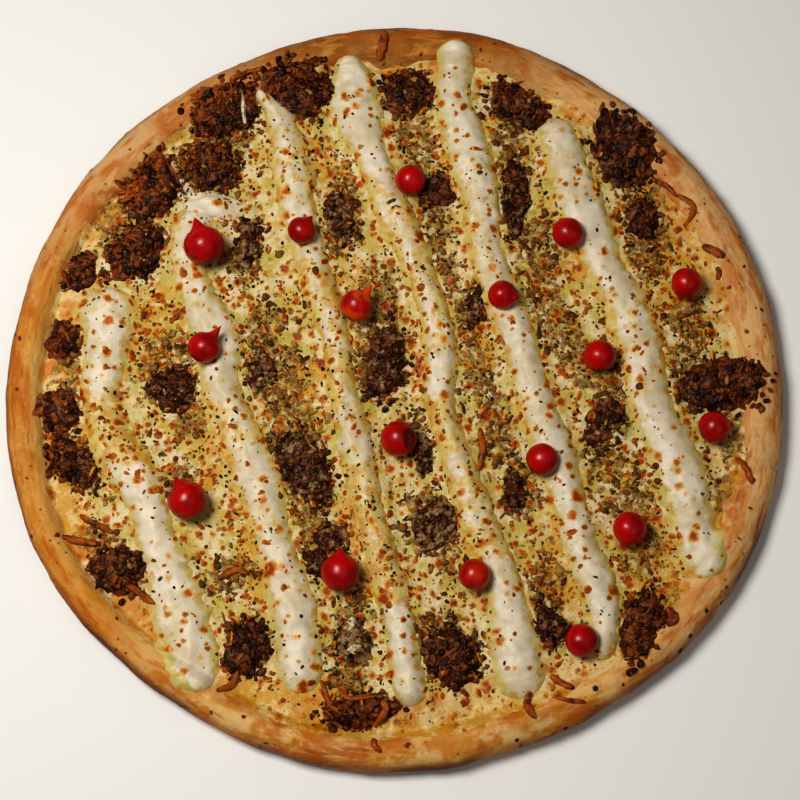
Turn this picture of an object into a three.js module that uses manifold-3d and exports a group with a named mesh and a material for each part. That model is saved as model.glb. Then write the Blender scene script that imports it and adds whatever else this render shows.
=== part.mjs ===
// A large pizza with shredded beef, built up as it is made: a crust with a raised rim, melted
// mozzarella, six piped stripes of cream cheese, heaps of shredded beef and small red beak peppers.
// Millimetres, +Z up. +Y is the side where the stripes start. The origin is under the middle of
// the pizza, on the flat underside of the crust.

import * as THREE from "three";
import { mergeVertices } from "three/addons/utils/BufferGeometryUtils.js";
import Module from "manifold-3d";

const wasm = await Module();
wasm.setup();

// ---- Driving dimensions -----------------------------------------------------------------------

const PIZZA_RADIUS = 174.9;
const RIM_WIDTH = 19;
const BASE_THICKNESS = 7;
const CHEESE_TOP = 10;
const CREAM_HEIGHT = 6;
const GAP = 0.3; // air between pieces that touch
const SLIVER = 0.06; // how far a face may be moved to leave out slivers at a cut

// The rim in section, from the flat underside round the outside to where the toppings start:
// [distance in from the edge, height].
const RIM_SECTION = [
  [13, 0],
  [5.3, 0.8],
  [1.3, 3.2],
  [0, 7],
  [1.5, 11.5],
  [5, 14.9],
  [10, 16],
  [14.5, 14.6],
  [18, 10.9],
  [20.5, BASE_THICKNESS],
];

// The cheese layer's edge in section, which leans on the inner slope of the rim.
const CHEESE_EDGE = [
  [20.9, BASE_THICKNESS + GAP],
  [19.4, 9.6],
  [20.6, CHEESE_TOP],
];

// A disc stretched by hand isn't quite round. Each wave is [lobes, size, angle of a crest].
const OUTLINE_WAVES = [
  [1, 0.3, 130],
  [2, 1.1, 3],
  [3, 0.7, -35],
  [4, 0.5, -14],
  [5, 0.4, -14],
  [6, 0.7, 24],
];
const RIM_WIDTH_WAVES = [
  [1, 2.6, 45],
  [3, 0.8, 10],
  [7, 0.5, 30],
];
const RIM_HEIGHT_WAVES = [
  [2, 0.05, 60],
  [5, 0.04, 20],
  [9, 0.03, 10],
];

// Piped cream cheese: each stripe is a short list of [x, y, width] along its middle.
const CREAM_ROUTES = [
  [
    [-135, 46, 14],
    [-130, 22, 18],
    [-133, -8, 19],
    [-127, -29, 19],
    [-113, -50, 19],
    [-106, -72, 20],
    [-97, -97, 22],
    [-89, -122, 24],
    [-82, -140, 20],
  ],
  [
    [-88, 85, 12],
    [-95, 64, 16],
    [-91, 40, 18],
    [-81, 20, 19],
    [-79, -2, 19],
    [-70, -24, 19],
    [-60, -52, 20],
    [-52, -80, 19],
    [-44, -110, 20],
    [-40, -142, 19],
  ],
  [
    [-65, 141, 5],
    [-54, 126, 13],
    [-50, 104, 15],
    [-47, 80, 15],
    [-37, 50, 15],
    [-27, 20, 14],
    [-24, -6, 14],
    [-17, -34, 15],
    [-9, -70, 15],
    [1, -108, 14],
    [5, -132, 16],
    [8, -147, 14],
  ],
  [
    [-20, 154, 12],
    [-19, 134, 15],
    [-9, 105, 16],
    [0, 80, 16],
    [11, 52, 16],
    [20, 20, 15],
    [20, -8, 14],
    [26, -32, 15],
    [37, -66, 16],
    [48, -94, 18],
    [52, -122, 21],
    [56, -144, 20],
  ],
  [
    [29, 167, 10],
    [27, 145, 15],
    [31, 120, 17],
    [39, 90, 18],
    [42, 60, 18],
    [54, 26, 17],
    [63, -8, 17],
    [73, -40, 17],
    [81, -72, 17],
    [91, -105, 15],
    [89, -127, 11],
  ],
  [
    [76, 129, 14],
    [79, 108, 20],
    [85, 82, 21],
    [96, 54, 20],
    [110, 22, 20],
    [115, -10, 21],
    [126, -40, 21],
    [132, -68, 22],
    [137, -90, 18],
  ],
];
const CREAM_WOBBLE = 0.09; // how unevenly it was squeezed out, as a share of its width
const CREAM_SWELL = 11; // distance between two swellings, over a full turn of the wave

// Beak peppers: [x, y, diameter, beak as a share of the radius, its heading in degrees, lift].
// Those whose beak doesn't show are plain round. The lift is what a stripe under one adds.
const PEPPERS = [
  [-87, 61, 18.5, 0.45, 110, 1.5],
  [7, 94, 14, 0, 200, 0.5],
  [-43, 69, 12.8, 0.35, 50, 2],
  [79, 68, 14.4, 0, 300, 0.5],
  [-86, 13, 14.5, 0.75, 48, 2],
  [-91.5, -57, 17.3, 0.35, 120, 0],
  [-17.5, 33, 15, 0.6, 50, 0.5],
  [48.5, 38, 13.2, 0.25, -20, 2],
  [1.5, -29, 16, 0, 170, 0],
  [65, -38.5, 14.3, 0, 20, 1],
  [132.5, 44, 14.2, 0, 250, 0],
  [92, 9.5, 14.4, 0, 80, 0],
  [142, -23.5, 14.2, 0, 10, 0],
  [103, -69.5, 14.8, 0, 140, 0],
  [-24, -89, 17, 0.3, 90, 0],
  [34.5, -90, 14, 0, 60, 0.5],
  [80.5, -118.5, 14.3, 0, 330, 0],
];
const BEAK_TILT = 20;
// A pepper in section, from the stem end to its shoulder: [radius, place along the axis], as
// shares of its radius. The tip follows.
const PEPPER_SECTION = [
  [0, -0.9],
  [0.52, -0.8],
  [0.9, -0.42],
  [0.99, 0.08],
  [0.78, 0.6],
];

// Heaps of shredded beef: [x, y, length, width, turn in degrees, height].
const BEEF_HEAPS = [
  [-45, 141, 32, 24, 0, 7],
  [-79, 131, 30, 24, 25, 7],
  [-86, 103.5, 25, 23, 70, 6.5],
  [-112, 92, 33, 20, 65, 7],
  [-120, 61, 30, 21, 45, 6.5],
  [-143, 51, 18, 13, 60, 5],
  [6, 141, 23, 20, 10, 6.5],
  [58, 133, 29, 17, -35, 5.5],
  [106, 110, 33, 25, 100, 7],
  [114, 77, 22, 14, 95, 5],
  [55, 88, 38, 13, 90, 4.5],
  [19, 91, 16, 13, 60, 4],
  [-25, 78, 26, 12, 95, 5],
  [-68, 66, 22, 11, 80, 4],
  [-149, 19, 17, 13, 80, 5.5],
  [-150, -14, 19, 17, 90, 6],
  [-144, -38, 26, 17, -50, 6.5],
  [-121, -86, 22, 20, 0, 6.5],
  [-100, -4, 20, 18, 0, 5],
  [-61, 5, 18, 12, 80, 4.5],
  [-5, 8, 32, 18, 80, 5],
  [-41, -41, 34, 20, -60, 6],
  [-31, -78, 22, 15, 70, 5],
  [12, -33, 22, 8, 95, 4],
  [17, -66, 22, 18, 60, 5],
  [53, -50, 15, 10, 90, 4],
  [36, 34, 20, 8, 80, 4],
  [94, -20, 26, 13, 60, 4.5],
  [146, -2, 36, 23, 0, 7],
  [107, -111, 30, 15, 70, 5.5],
  [67, -111, 19, 12, 90, 4.5],
  [24, -124, 25, 24, 0, 6.5],
  [-19, -118, 22, 14, 80, 6],
  [-14, -148, 34, 13, 5, 5.5],
  [-65, -121, 25, 19, 60, 6.5],
];
const HEAP_PER_SHRED = 200; // one shred stands out for each such patch of a heap, in mm²
const BIG_HEAP = 700; // a heap over this area gets a finer core, in mm²
const HEAP_SMOOTHING = 0.35; // how far a face may be moved where shreds join the core
const SHRED = { shortest: 9, longest: 17, width: 2.8, thickness: 2, curl: 2.5 };

// Single crisp shreds stuck to the rim or to the cheese: [x, y, length, width, turn in degrees].
const RIM_SHREDS = [
  [-5, 162, 15, 4, 84],
  [77, -145, 13, 3.4, 70],
];
const CHEESE_SHREDS = [
  [-134, -72, 16, 3.6, 2],
  [125, 87, 15, 3.4, 125],
];

// Mounds where the melted mozzarella lies bare between the toppings.
const MOUNDS = { count: 28, tries: 4000, smallest: 5, largest: 10, height: 1.6, reach: 150 };

// How finely the curves are cut into faces.
const CRUST_SEGMENTS = 72;
const CREAM_SEGMENTS = 7;
const CREAM_STEP = 17;
const PEPPER_SEGMENTS = 9;

// ---- Shared helpers ---------------------------------------------------------------------------

const TURN = 2 * Math.PI;
const radians = THREE.MathUtils.degToRad;

// A stream of numbers from 0 to 1 that is the same each time.
function seededRandom(seed) {
  let state = (seed * 2654435761) >>> 0;
  return () => {
    state = (Math.imul(state, 1664525) + 1013904223) >>> 0;
    return state / 4294967296;
  };
}

// The sum of a list of waves at an angle.
function waves(list, angle) {
  const each = list.map(([lobes, size, crest]) => size * Math.cos(lobes * (angle - radians(crest))));
  return each.reduce((sum, wave) => sum + wave);
}

// Moves every corner of a geometry by a function that edits one point.
function reshape(geometry, edit) {
  const position = geometry.getAttribute("position");
  const point = new THREE.Vector3();
  for (let i = 0; i < position.count; i++) {
    edit(point.fromBufferAttribute(position, i));
    position.setXYZ(i, point.x, point.y, point.z);
  }
  return geometry;
}

// Shares equal corners, and drops the faces that shrink to a line at a pole.
function welded(geometry) {
  geometry.deleteAttribute("normal");
  geometry.deleteAttribute("uv");
  const merged = mergeVertices(geometry, 1e-3);
  const corners = merged.index.array;
  const kept = [];
  for (let i = 0; i < corners.length; i += 3) {
    const [a, b, c] = [corners[i], corners[i + 1], corners[i + 2]];
    if (a !== b && b !== c && c !== a) kept.push(a, b, c);
  }
  merged.setIndex(kept);
  return merged;
}

// A closed geometry as a solid, with its faces pointing out.
function solid(geometry) {
  const merged = welded(geometry);
  const vertProperties = new Float32Array(merged.attributes.position.array);
  const triVerts = new Uint32Array(merged.index.array);
  const made = new wasm.Manifold(new wasm.Mesh({ numProp: 3, vertProperties, triVerts }));
  if (made.volume() > 0) return made;
  triVerts.reverse();
  return new wasm.Manifold(new wasm.Mesh({ numProp: 3, vertProperties, triVerts }));
}

function largestBody(shape) {
  return shape.decompose().reduce((best, body) => (body.volume() > best.volume() ? body : best));
}

// Whether the boxes round two shapes come within a margin of each other.
function reaches(a, b, margin = 0) {
  const [p, q] = [a.boundingBox(), b.boundingBox()];
  return p.min.every((low, i) => low < q.max[i] + margin && q.min[i] < p.max[i] + margin);
}

// A shape less each of the others that reaches it, without loose scraps.
function cutBy(shape, others) {
  const near = others.filter((other) => reaches(shape, other));
  return largestBody(near.reduce((rest, other) => rest.subtract(other), shape));
}

// ---- The ground that the toppings lie on ------------------------------------------------------

const edgeRadius = (angle) => PIZZA_RADIUS + waves(OUTLINE_WAVES, angle);
const rimStretch = (angle) => (RIM_WIDTH + waves(RIM_WIDTH_WAVES, angle)) / RIM_WIDTH;
const [RIM_FOOT] = RIM_SECTION[RIM_SECTION.length - 1];

// A height on the rim, raised or lowered with the rim at that angle, but not where it meets the base.
function liftedRim(height, angle, inward) {
  const share = 1 - THREE.MathUtils.smoothstep(inward, RIM_FOOT / 2, RIM_FOOT - 2);
  const above = Math.max(0, height - BASE_THICKNESS);
  return height + above * share * waves(RIM_HEIGHT_WAVES, angle);
}

// Takes a point of a perfectly round pizza to where hand stretching left it.
function stretchByHand(point) {
  const angle = Math.atan2(point.y, point.x);
  const round = Math.hypot(point.x, point.y);
  const inward = PIZZA_RADIUS - round;
  const foot = edgeRadius(angle) - RIM_FOOT * rimStretch(angle);
  const onRim = edgeRadius(angle) - inward * rimStretch(angle);
  const radius = inward < RIM_FOOT ? onRim : (round * foot) / (PIZZA_RADIUS - RIM_FOOT);
  point.x = radius * Math.cos(angle);
  point.y = radius * Math.sin(angle);
  point.z = liftedRim(point.z, angle, inward);
}

// The height of the cheese, or of the rim where that is higher, under a point of the plan.
function groundHeight(x, y) {
  const angle = Math.atan2(y, x);
  const inward = (edgeRadius(angle) - Math.hypot(x, y)) / rimStretch(angle);
  const next = RIM_SECTION.findIndex(([distance], i) => i > 4 && distance > inward);
  if (next < 0) return CHEESE_TOP;
  const [[near, high], [far, low]] = [RIM_SECTION[next - 1], RIM_SECTION[next]];
  const height = THREE.MathUtils.mapLinear(inward, near, far, high, low);
  return Math.max(CHEESE_TOP, liftedRim(height, angle, inward));
}

// A section turned round the middle of the pizza, from and to the axis, moved in and up by grow.
function turned(section, grow = 0) {
  const points = section.map(([inward, height]) => [PIZZA_RADIUS - inward - grow, height + grow]);
  const [first, last] = [points[0][1], points[points.length - 1][1]];
  const profile = [[0, first], ...points, [0, last]].map(([r, z]) => new THREE.Vector2(r, z));
  const lathe = new THREE.LatheGeometry(profile, CRUST_SEGMENTS).rotateX(Math.PI / 2);
  return solid(reshape(lathe, stretchByHand));
}

// ---- Cream stripes ----------------------------------------------------------------------------

// One stripe: a capsule laid along its route, with an arched top and a flat bottom. Its segments
// run round the arch, and the last one marks the middle of the bottom. Grow widens it all round.
function creamStripe(route, number, grow = 0) {
  const curve = new THREE.CatmullRomCurve3(route.map((row) => new THREE.Vector3(...row)));
  const length = curve.getLength();
  const radius = route[0][2] / 2;
  const steps = Math.round(length / CREAM_STEP);
  const capsule = new THREE.CapsuleGeometry(radius, length - 2 * radius, 2, CREAM_SEGMENTS, steps);
  return solid(
    reshape(capsule, (point) => {
      const turn = Math.atan2(point.z, -point.x) / TURN + 1;
      const segment = Math.round(turn * CREAM_SEGMENTS) % CREAM_SEGMENTS;
      const arch = (segment / (CREAM_SEGMENTS - 2)) * Math.PI;
      const onArch = segment < CREAM_SEGMENTS - 1 ? 1 : 0;
      const reach = Math.hypot(point.x, point.z) / radius;
      const along = point.y + length / 2;

      const t = THREE.MathUtils.clamp(along / length, 0, 1);
      const middle = curve.getPointAt(t);
      const heading = curve.getTangentAt(t).setZ(0).normalize();
      const across = new THREE.Vector3(-heading.y, heading.x, 0);
      const swell = 1 + CREAM_WOBBLE * Math.sin(along / CREAM_SWELL + number * 2);
      const side = onArch * reach * (middle.z / 2) * swell * Math.cos(arch);
      const rise = onArch * reach * CREAM_HEIGHT * Math.sqrt(swell) * Math.sin(arch);
      point.set(middle.x, middle.y, 0).addScaledVector(across, side);
      point.z = GAP + (rise > 0.01 ? groundHeight(point.x, point.y) + rise + grow : CHEESE_TOP);

      const wider = onArch * Math.sign(Math.round(reach * 10)) * grow * Math.cos(arch);
      const longer = Math.sign(t - 0.5) * (1 - reach) * grow;
      point.addScaledVector(across, wider).addScaledVector(heading, longer);
    }),
  );
}

// ---- Peppers ----------------------------------------------------------------------------------

function beakPepper([x, y, diameter, beak, heading, lift], grow = 0) {
  const radius = diameter / 2 + grow;
  const tip = beak > 0 ? [[0.36, 0.92], [0.13, 1 + beak * 0.6], [0, 1 + beak]] : [[0.4, 0.92], [0, 1]];
  const profile = [...PEPPER_SECTION, ...tip].map(([r, z]) => new THREE.Vector2(r * radius, z * radius));
  const pepper = new THREE.LatheGeometry(profile, PEPPER_SEGMENTS);
  pepper.rotateZ(-Math.PI / 2); // the beak now points along +X
  pepper.rotateY(-radians(BEAK_TILT));
  pepper.rotateZ(radians(heading));
  pepper.translate(x, y, groundHeight(x, y) + GAP + lift + diameter / 2);
  return solid(pepper);
}

// ---- Shredded beef ----------------------------------------------------------------------------

// One strip of meat, curled sideways and laid over whatever height the surface has.
function shred(length, width, curl, place, heightAt) {
  const strip = new THREE.BoxGeometry(length, width, SHRED.thickness, 2, 1, 1);
  return solid(
    reshape(strip, (point) => {
      const end = (2 * point.x) / length;
      const taper = 1 - 0.45 * end * end;
      const z = point.z;
      point.set(point.x, point.y * taper + curl * end * end, 0).applyMatrix4(place);
      point.z = heightAt(point.x, point.y) + z;
    }),
  );
}

// A heap: a lumpy core with the shreds that stand out of it.
function beefHeap([x, y, length, width, turn, height], seed) {
  const random = seededRandom(seed);
  const place = new THREE.Matrix4().makeRotationZ(radians(turn)).setPosition(x, y, 0);
  const back = place.clone().invert();
  const size = new THREE.Vector3(length / 2, width / 2, height);
  const domeHeight = (px, py) => {
    const own = new THREE.Vector3(px, py, 0).applyMatrix4(back).divide(size);
    return groundHeight(px, py) + height * 0.9 * Math.sqrt(Math.max(0, 1 - own.lengthSq()));
  };

  const core = welded(new THREE.OctahedronGeometry(1, length * width > BIG_HEAP ? 2 : 1));
  reshape(core, (point) => {
    point.multiply(size).multiplyScalar(0.82 + 0.3 * random()).applyMatrix4(place);
    point.z += groundHeight(point.x, point.y);
  });

  const shreds = [];
  const count = Math.max(2, Math.round((length * width) / HEAP_PER_SHRED));
  for (let i = 0; i < count; i++) {
    const around = ((i + 0.6 * random()) / count) * TURN;
    const out = 0.35 + 0.4 * random();
    const longest = Math.min(SHRED.longest, 0.75 * length);
    const shredLength = THREE.MathUtils.lerp(SHRED.shortest, longest, random());
    const curl = SHRED.curl * (2 * random() - 1);
    const heading = new THREE.Matrix4().makeRotationZ(around + Math.PI * (0.2 + 0.6 * random()));
    heading.setPosition(size.x * out * Math.cos(around), size.y * out * Math.sin(around), 0);
    const lying = place.clone().multiply(heading);
    shreds.push(shred(shredLength, SHRED.width, curl, lying, domeHeight));
  }
  return shreds.reduce((heap, strip) => heap.add(strip), solid(core)).simplify(HEAP_SMOOTHING);
}

function looseShred([x, y, length, width, turn], heightAt) {
  const place = new THREE.Matrix4().makeRotationZ(radians(turn)).setPosition(x, y, 0);
  return shred(length, width, SHRED.curl, place, heightAt);
}

// ---- Everything together ----------------------------------------------------------------------

const pizza = new THREE.Group();

function addPiece(name, shape, color, roughness) {
  const made = shape.getMesh();
  const geometry = new THREE.BufferGeometry();
  geometry.setAttribute("position", new THREE.BufferAttribute(made.vertProperties, 3));
  geometry.setIndex(new THREE.BufferAttribute(made.triVerts, 1));
  const material = new THREE.MeshStandardMaterial({ color, roughness, metalness: 0 });
  const mesh = new THREE.Mesh(geometry, material);
  mesh.name = name;
  pizza.add(mesh);
}

const rimRoom = turned(RIM_SECTION, GAP);
const slab = new THREE.BoxGeometry(3 * PIZZA_RADIUS, 3 * PIZZA_RADIUS, CHEESE_TOP + GAP);
const ground = rimRoom.add(solid(slab.translate(0, 0, (CHEESE_TOP + GAP) / 2)));

const peppers = PEPPERS.map((row) => beakPepper(row));
const pepperRoom = PEPPERS.map((row) => beakPepper(row, GAP));
const stripes = CREAM_ROUTES.map((route, i) => cutBy(creamStripe(route, i), [ground, ...pepperRoom]));
const stripeRoom = CREAM_ROUTES.map((route, i) => creamStripe(route, i, GAP));
const heaps = BEEF_HEAPS.map((row, i) =>
  cutBy(beefHeap(row, i + 1), [ground, ...pepperRoom, ...stripeRoom]).simplify(SLIVER),
);

let crust = turned(RIM_SECTION);
for (const row of RIM_SHREDS) crust = crust.add(looseShred(row, groundHeight));
addPiece("crust", crust, 0xc98f4e, 0.75);

const toppingRoom = [...pepperRoom, ...stripeRoom, ...heaps];

// Melted mounds and stray shreds join the cheese wherever they keep clear of the toppings.
let cheese = turned(CHEESE_EDGE);
for (const row of CHEESE_SHREDS) cheese = cheese.add(cutBy(looseShred(row, groundHeight), [rimRoom]));
const mounds = [];
const random = seededRandom(MOUNDS.count);
for (let i = 0; i < MOUNDS.tries && mounds.length < MOUNDS.count; i++) {
  const [angle, radius] = [TURN * random(), MOUNDS.reach * Math.sqrt(random())];
  const size = THREE.MathUtils.lerp(MOUNDS.smallest, MOUNDS.largest, random());
  const mound = new THREE.OctahedronGeometry(1, 1).scale(size, size * 0.8, MOUNDS.height);
  mound.rotateZ(TURN * random()).translate(radius * Math.cos(angle), radius * Math.sin(angle), CHEESE_TOP);
  const shape = solid(mound);
  const space = shape.translate(0, 0, 2 * GAP);
  const taken = toppingRoom.some((other) => reaches(space, other) && !space.intersect(other).isEmpty());
  if (!taken) mounds.push(cutBy(shape, [rimRoom]));
}
cheese = mounds.reduce((sum, mound) => sum.add(mound), cheese);
addPiece("mozzarella", cheese, 0xe9d38a, 0.5);

stripes.forEach((shape, i) => addPiece(`cream_stripe_${i + 1}`, shape, 0xf3ead2, 0.35));
peppers.forEach((shape, i) => addPiece(`beak_pepper_${i + 1}`, shape, 0xb3120d, 0.25));
heaps.forEach((shape, i) => addPiece(`beef_heap_${i + 1}`, shape, 0x4a2a1b, 0.6));

// The outline's waves leave the pizza a little off centre.
const around = new THREE.Box3().setFromObject(pizza);
const middle = around.getCenter(new THREE.Vector3());
pizza.position.set(-middle.x, -middle.y, -around.min.z);

export default pizza;
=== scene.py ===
# %% [markdown]
# # A shredded beef pizza, layer by layer
#
# This lesson dresses a plain model of a pizza the way a cook builds a real one: dough, melted
# mozzarella, piped cream cheese, shredded beef, small red peppers, and at the end the crumbs,
# browned bits and herbs that make it look baked. The plain model is loaded first as a fixed frame.
# Each new piece then stands in for the plain one in the same place, so nothing is fitted by eye.

import bmesh
import bpy
import numpy as np
from mathutils import Matrix, Vector, noise
from mathutils.bvhtree import BVHTree
from mathutils.kdtree import KDTree


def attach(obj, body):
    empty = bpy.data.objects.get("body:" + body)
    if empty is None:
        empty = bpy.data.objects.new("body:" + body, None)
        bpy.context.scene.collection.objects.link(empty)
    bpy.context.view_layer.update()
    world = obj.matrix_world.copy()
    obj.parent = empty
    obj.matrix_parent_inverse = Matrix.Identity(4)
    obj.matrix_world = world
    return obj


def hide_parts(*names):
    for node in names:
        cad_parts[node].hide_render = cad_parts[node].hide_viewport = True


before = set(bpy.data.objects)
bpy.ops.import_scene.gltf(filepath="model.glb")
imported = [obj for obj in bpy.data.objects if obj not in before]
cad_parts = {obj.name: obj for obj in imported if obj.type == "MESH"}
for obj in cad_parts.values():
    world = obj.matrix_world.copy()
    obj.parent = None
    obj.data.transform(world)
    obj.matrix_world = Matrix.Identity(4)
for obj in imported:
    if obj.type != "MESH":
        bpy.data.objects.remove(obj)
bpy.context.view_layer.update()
print("the plain model has", len(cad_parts), "pieces")

# %% [markdown]
# ## The sizes of the pizza
#
# The same named sizes shape the plain model. They are in millimetres, because a cook would measure
# that way, and each finished mesh is shrunk to metres once, at the end. A hand-stretched disc isn't
# round, so its outline, rim width and rim height are a few waves, each [lobes, size, crest angle].

# %% Sizes
MM = 0.001
PIZZA_RADIUS = 174.9
RIM_WIDTH = 19
BASE_THICKNESS = 7
CHEESE_TOP = 10
CREAM_HEIGHT = 6
RIM_SECTION = [(13, 0), (5.3, 0.8), (1.3, 3.2), (0, 7), (1.5, 11.5), (5, 14.9), (10, 16)]
RIM_SECTION += [(14.5, 14.6), (18, 10.9), (20.5, BASE_THICKNESS)]
OUTLINE_WAVES = [(1, 0.3, 130), (2, 1.1, 3), (3, 0.7, -35), (4, 0.5, -14), (5, 0.4, -14)]
OUTLINE_WAVES += [(6, 0.7, 24)]
RIM_WIDTH_WAVES = [(1, 2.6, 45), (3, 0.8, 10), (7, 0.5, 30)]
RIM_HEIGHT_WAVES = [(2, 0.05, 60), (5, 0.04, 20), (9, 0.03, 10)]


def waves(rows, angle):
    """The sum of a list of waves at an angle, or at many."""
    return sum(size * np.cos(lobes * (angle - np.radians(crest))) for lobes, size, crest in rows)


def edge_radius(angle):
    return PIZZA_RADIUS + waves(OUTLINE_WAVES, angle)


def rim_stretch(angle):
    return (RIM_WIDTH + waves(RIM_WIDTH_WAVES, angle)) / RIM_WIDTH


# The waves leave the pizza a little off the middle of its box, where the frame has its origin.
box_angles = np.radians(np.arange(0, 360, 5))
outline = edge_radius(box_angles) * np.array([np.cos(box_angles), np.sin(box_angles)])
TO_FRAME = np.append(-(outline.max(1) + outline.min(1)) / 2, 0)
print("the pizza moves into the frame by", TO_FRAME.round(3), "mm")

# %% [markdown]
# ## Small helpers for meshes
#
# Blender can hand over all points of a mesh as one array. That makes it quick to bend, bump and
# measure a mesh of a hundred thousand points, so every piece below starts from a simple shape made
# by a mesh operator, and its points are then moved by a formula.

# %% Helpers for places and lines
SEED_GAP = 7.3  # how many lumps apart the patterns of two seeds are


def smoothstep(value, low, high):
    """0 up to low, 1 from high on, and a soft change between."""
    share = np.clip((value - low) / (high - low), 0, 1)
    return share * share * (3 - 2 * share)


def lumps(points, size, seed=0):
    """Smooth noise, about -1 to 1, with lumps so many mm wide. Each seed is another pattern."""
    places = np.asarray(points) / size + SEED_GAP * seed
    return np.array([noise.noise(place) for place in places.tolist()])


def flat_places(x, y):
    """Places as points of no height, for noise that depends on where they are from above."""
    return np.column_stack([np.ravel(x), np.ravel(y), np.zeros(np.size(x))])


def smooth_line(points, cuts):
    """A curve through all the points, with so many steps between two of them."""
    p = np.asarray(points, float)
    p = np.vstack([2 * p[0] - p[1], p, 2 * p[-1] - p[-2]])
    t = np.arange(cuts)[:, None] / cuts
    spans = []
    for a, b, c, d in zip(p, p[1:], p[2:], p[3:]):
        slope = 2 * b + (c - a) * t
        bend = (2 * a - 5 * b + 4 * c - d) * t**2
        spans.append(0.5 * (slope + bend + (3 * b - a - 3 * c + d) * t**3))
    return np.vstack([*spans, p[-2]])


def read_at(wanted, known, rows):
    """Rows that are known at some lengths along a line, as they are at the wanted lengths."""
    return np.column_stack([np.interp(wanted, known, column) for column in rows.T])


print("smooth noise at two places:", lumps([(4, 0, 0), (8, 0, 0)], 10).round(2))

# %% Helpers for meshes


def points_of(mesh):
    values = np.empty(3 * len(mesh.vertices))
    mesh.vertices.foreach_get("co", values)
    return values.reshape(-1, 3)


def set_points(mesh, points):
    mesh.vertices.foreach_set("co", np.asarray(points, float).ravel())
    mesh.update()


def normals_of(mesh):
    values = np.empty(3 * len(mesh.vertices))
    mesh.vertex_normals.foreach_get("vector", values)
    return values.reshape(-1, 3)


def mesh_of(bm, name):
    mesh = bpy.data.meshes.new(name)
    bm.to_mesh(mesh)
    bm.free()
    return mesh


def mark(mesh, name, values):
    """Stores a number, or a place in metres, with each point, for the materials to read."""
    values = np.asarray(values, np.float32)
    kind, field = ("FLOAT_VECTOR", "vector") if values.ndim == 2 else ("FLOAT", "value")
    mesh.attributes.new(name, kind, "POINT").data.foreach_set(field, values.ravel())


def close_below(bm, floor):
    """Turns a sheet into a closed body: its border drops to a flat floor, which is filled."""
    border = [edge for edge in bm.edges if edge.is_boundary]
    dropped = bmesh.ops.extrude_edge_only(bm, edges=border)["geom"]
    for item in dropped:
        if isinstance(item, bmesh.types.BMVert):
            item.co.z = floor
    lowest = [edge for edge in bm.edges if edge.is_boundary]
    bmesh.ops.edgeloop_fill(bm, edges=lowest)
    bmesh.ops.recalc_face_normals(bm, faces=bm.faces)


def spin_round(bm, corners, steps):
    """Joins corners from axis to axis in a line, and spins it once round the z axis."""
    edges = [bm.edges.new(pair) for pair in zip(corners, corners[1:])]
    line = corners + edges
    bmesh.ops.spin(bm, geom=line, axis=(0, 0, 1), angle=2 * np.pi, steps=steps, use_merge=True)


# %% A piece on the pizza


def serve(mesh, slot, finish, *nodes):
    """Puts a finished mesh, in millimetres, on the pizza as a piece that stands for those nodes."""
    set_points(mesh, (points_of(mesh) + TO_FRAME) * MM)
    mesh.polygons.foreach_set("use_smooth", [True] * len(mesh.polygons))
    mesh.materials.append(finish.material)
    piece = bpy.data.objects.new(mesh.name, mesh)
    bpy.context.scene.collection.objects.link(piece)
    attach(piece, "root")
    if nodes:
        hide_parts(*nodes)
    triangles = sum(len(face.vertices) - 2 for face in mesh.polygons)
    print(f"{mesh.name}: {triangles} triangles")
    return piece


# %% [markdown]
# ## Small helpers for materials
#
# Every finish here is a Principled shader whose colour comes from layers of noise and spots. The
# class below keeps the node calls short: each method adds a node and gives back its output.

# %% Material helpers


def colour(red, green, blue):
    """A colour as it looks on screen, 0 to 255, in the linear numbers that a shader takes."""
    share = np.array([red, green, blue]) / 255
    linear = np.where(share < 0.04045, share / 12.92, ((share + 0.055) / 1.055) ** 2.4)
    return (*linear.tolist(), 1.0)


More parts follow.
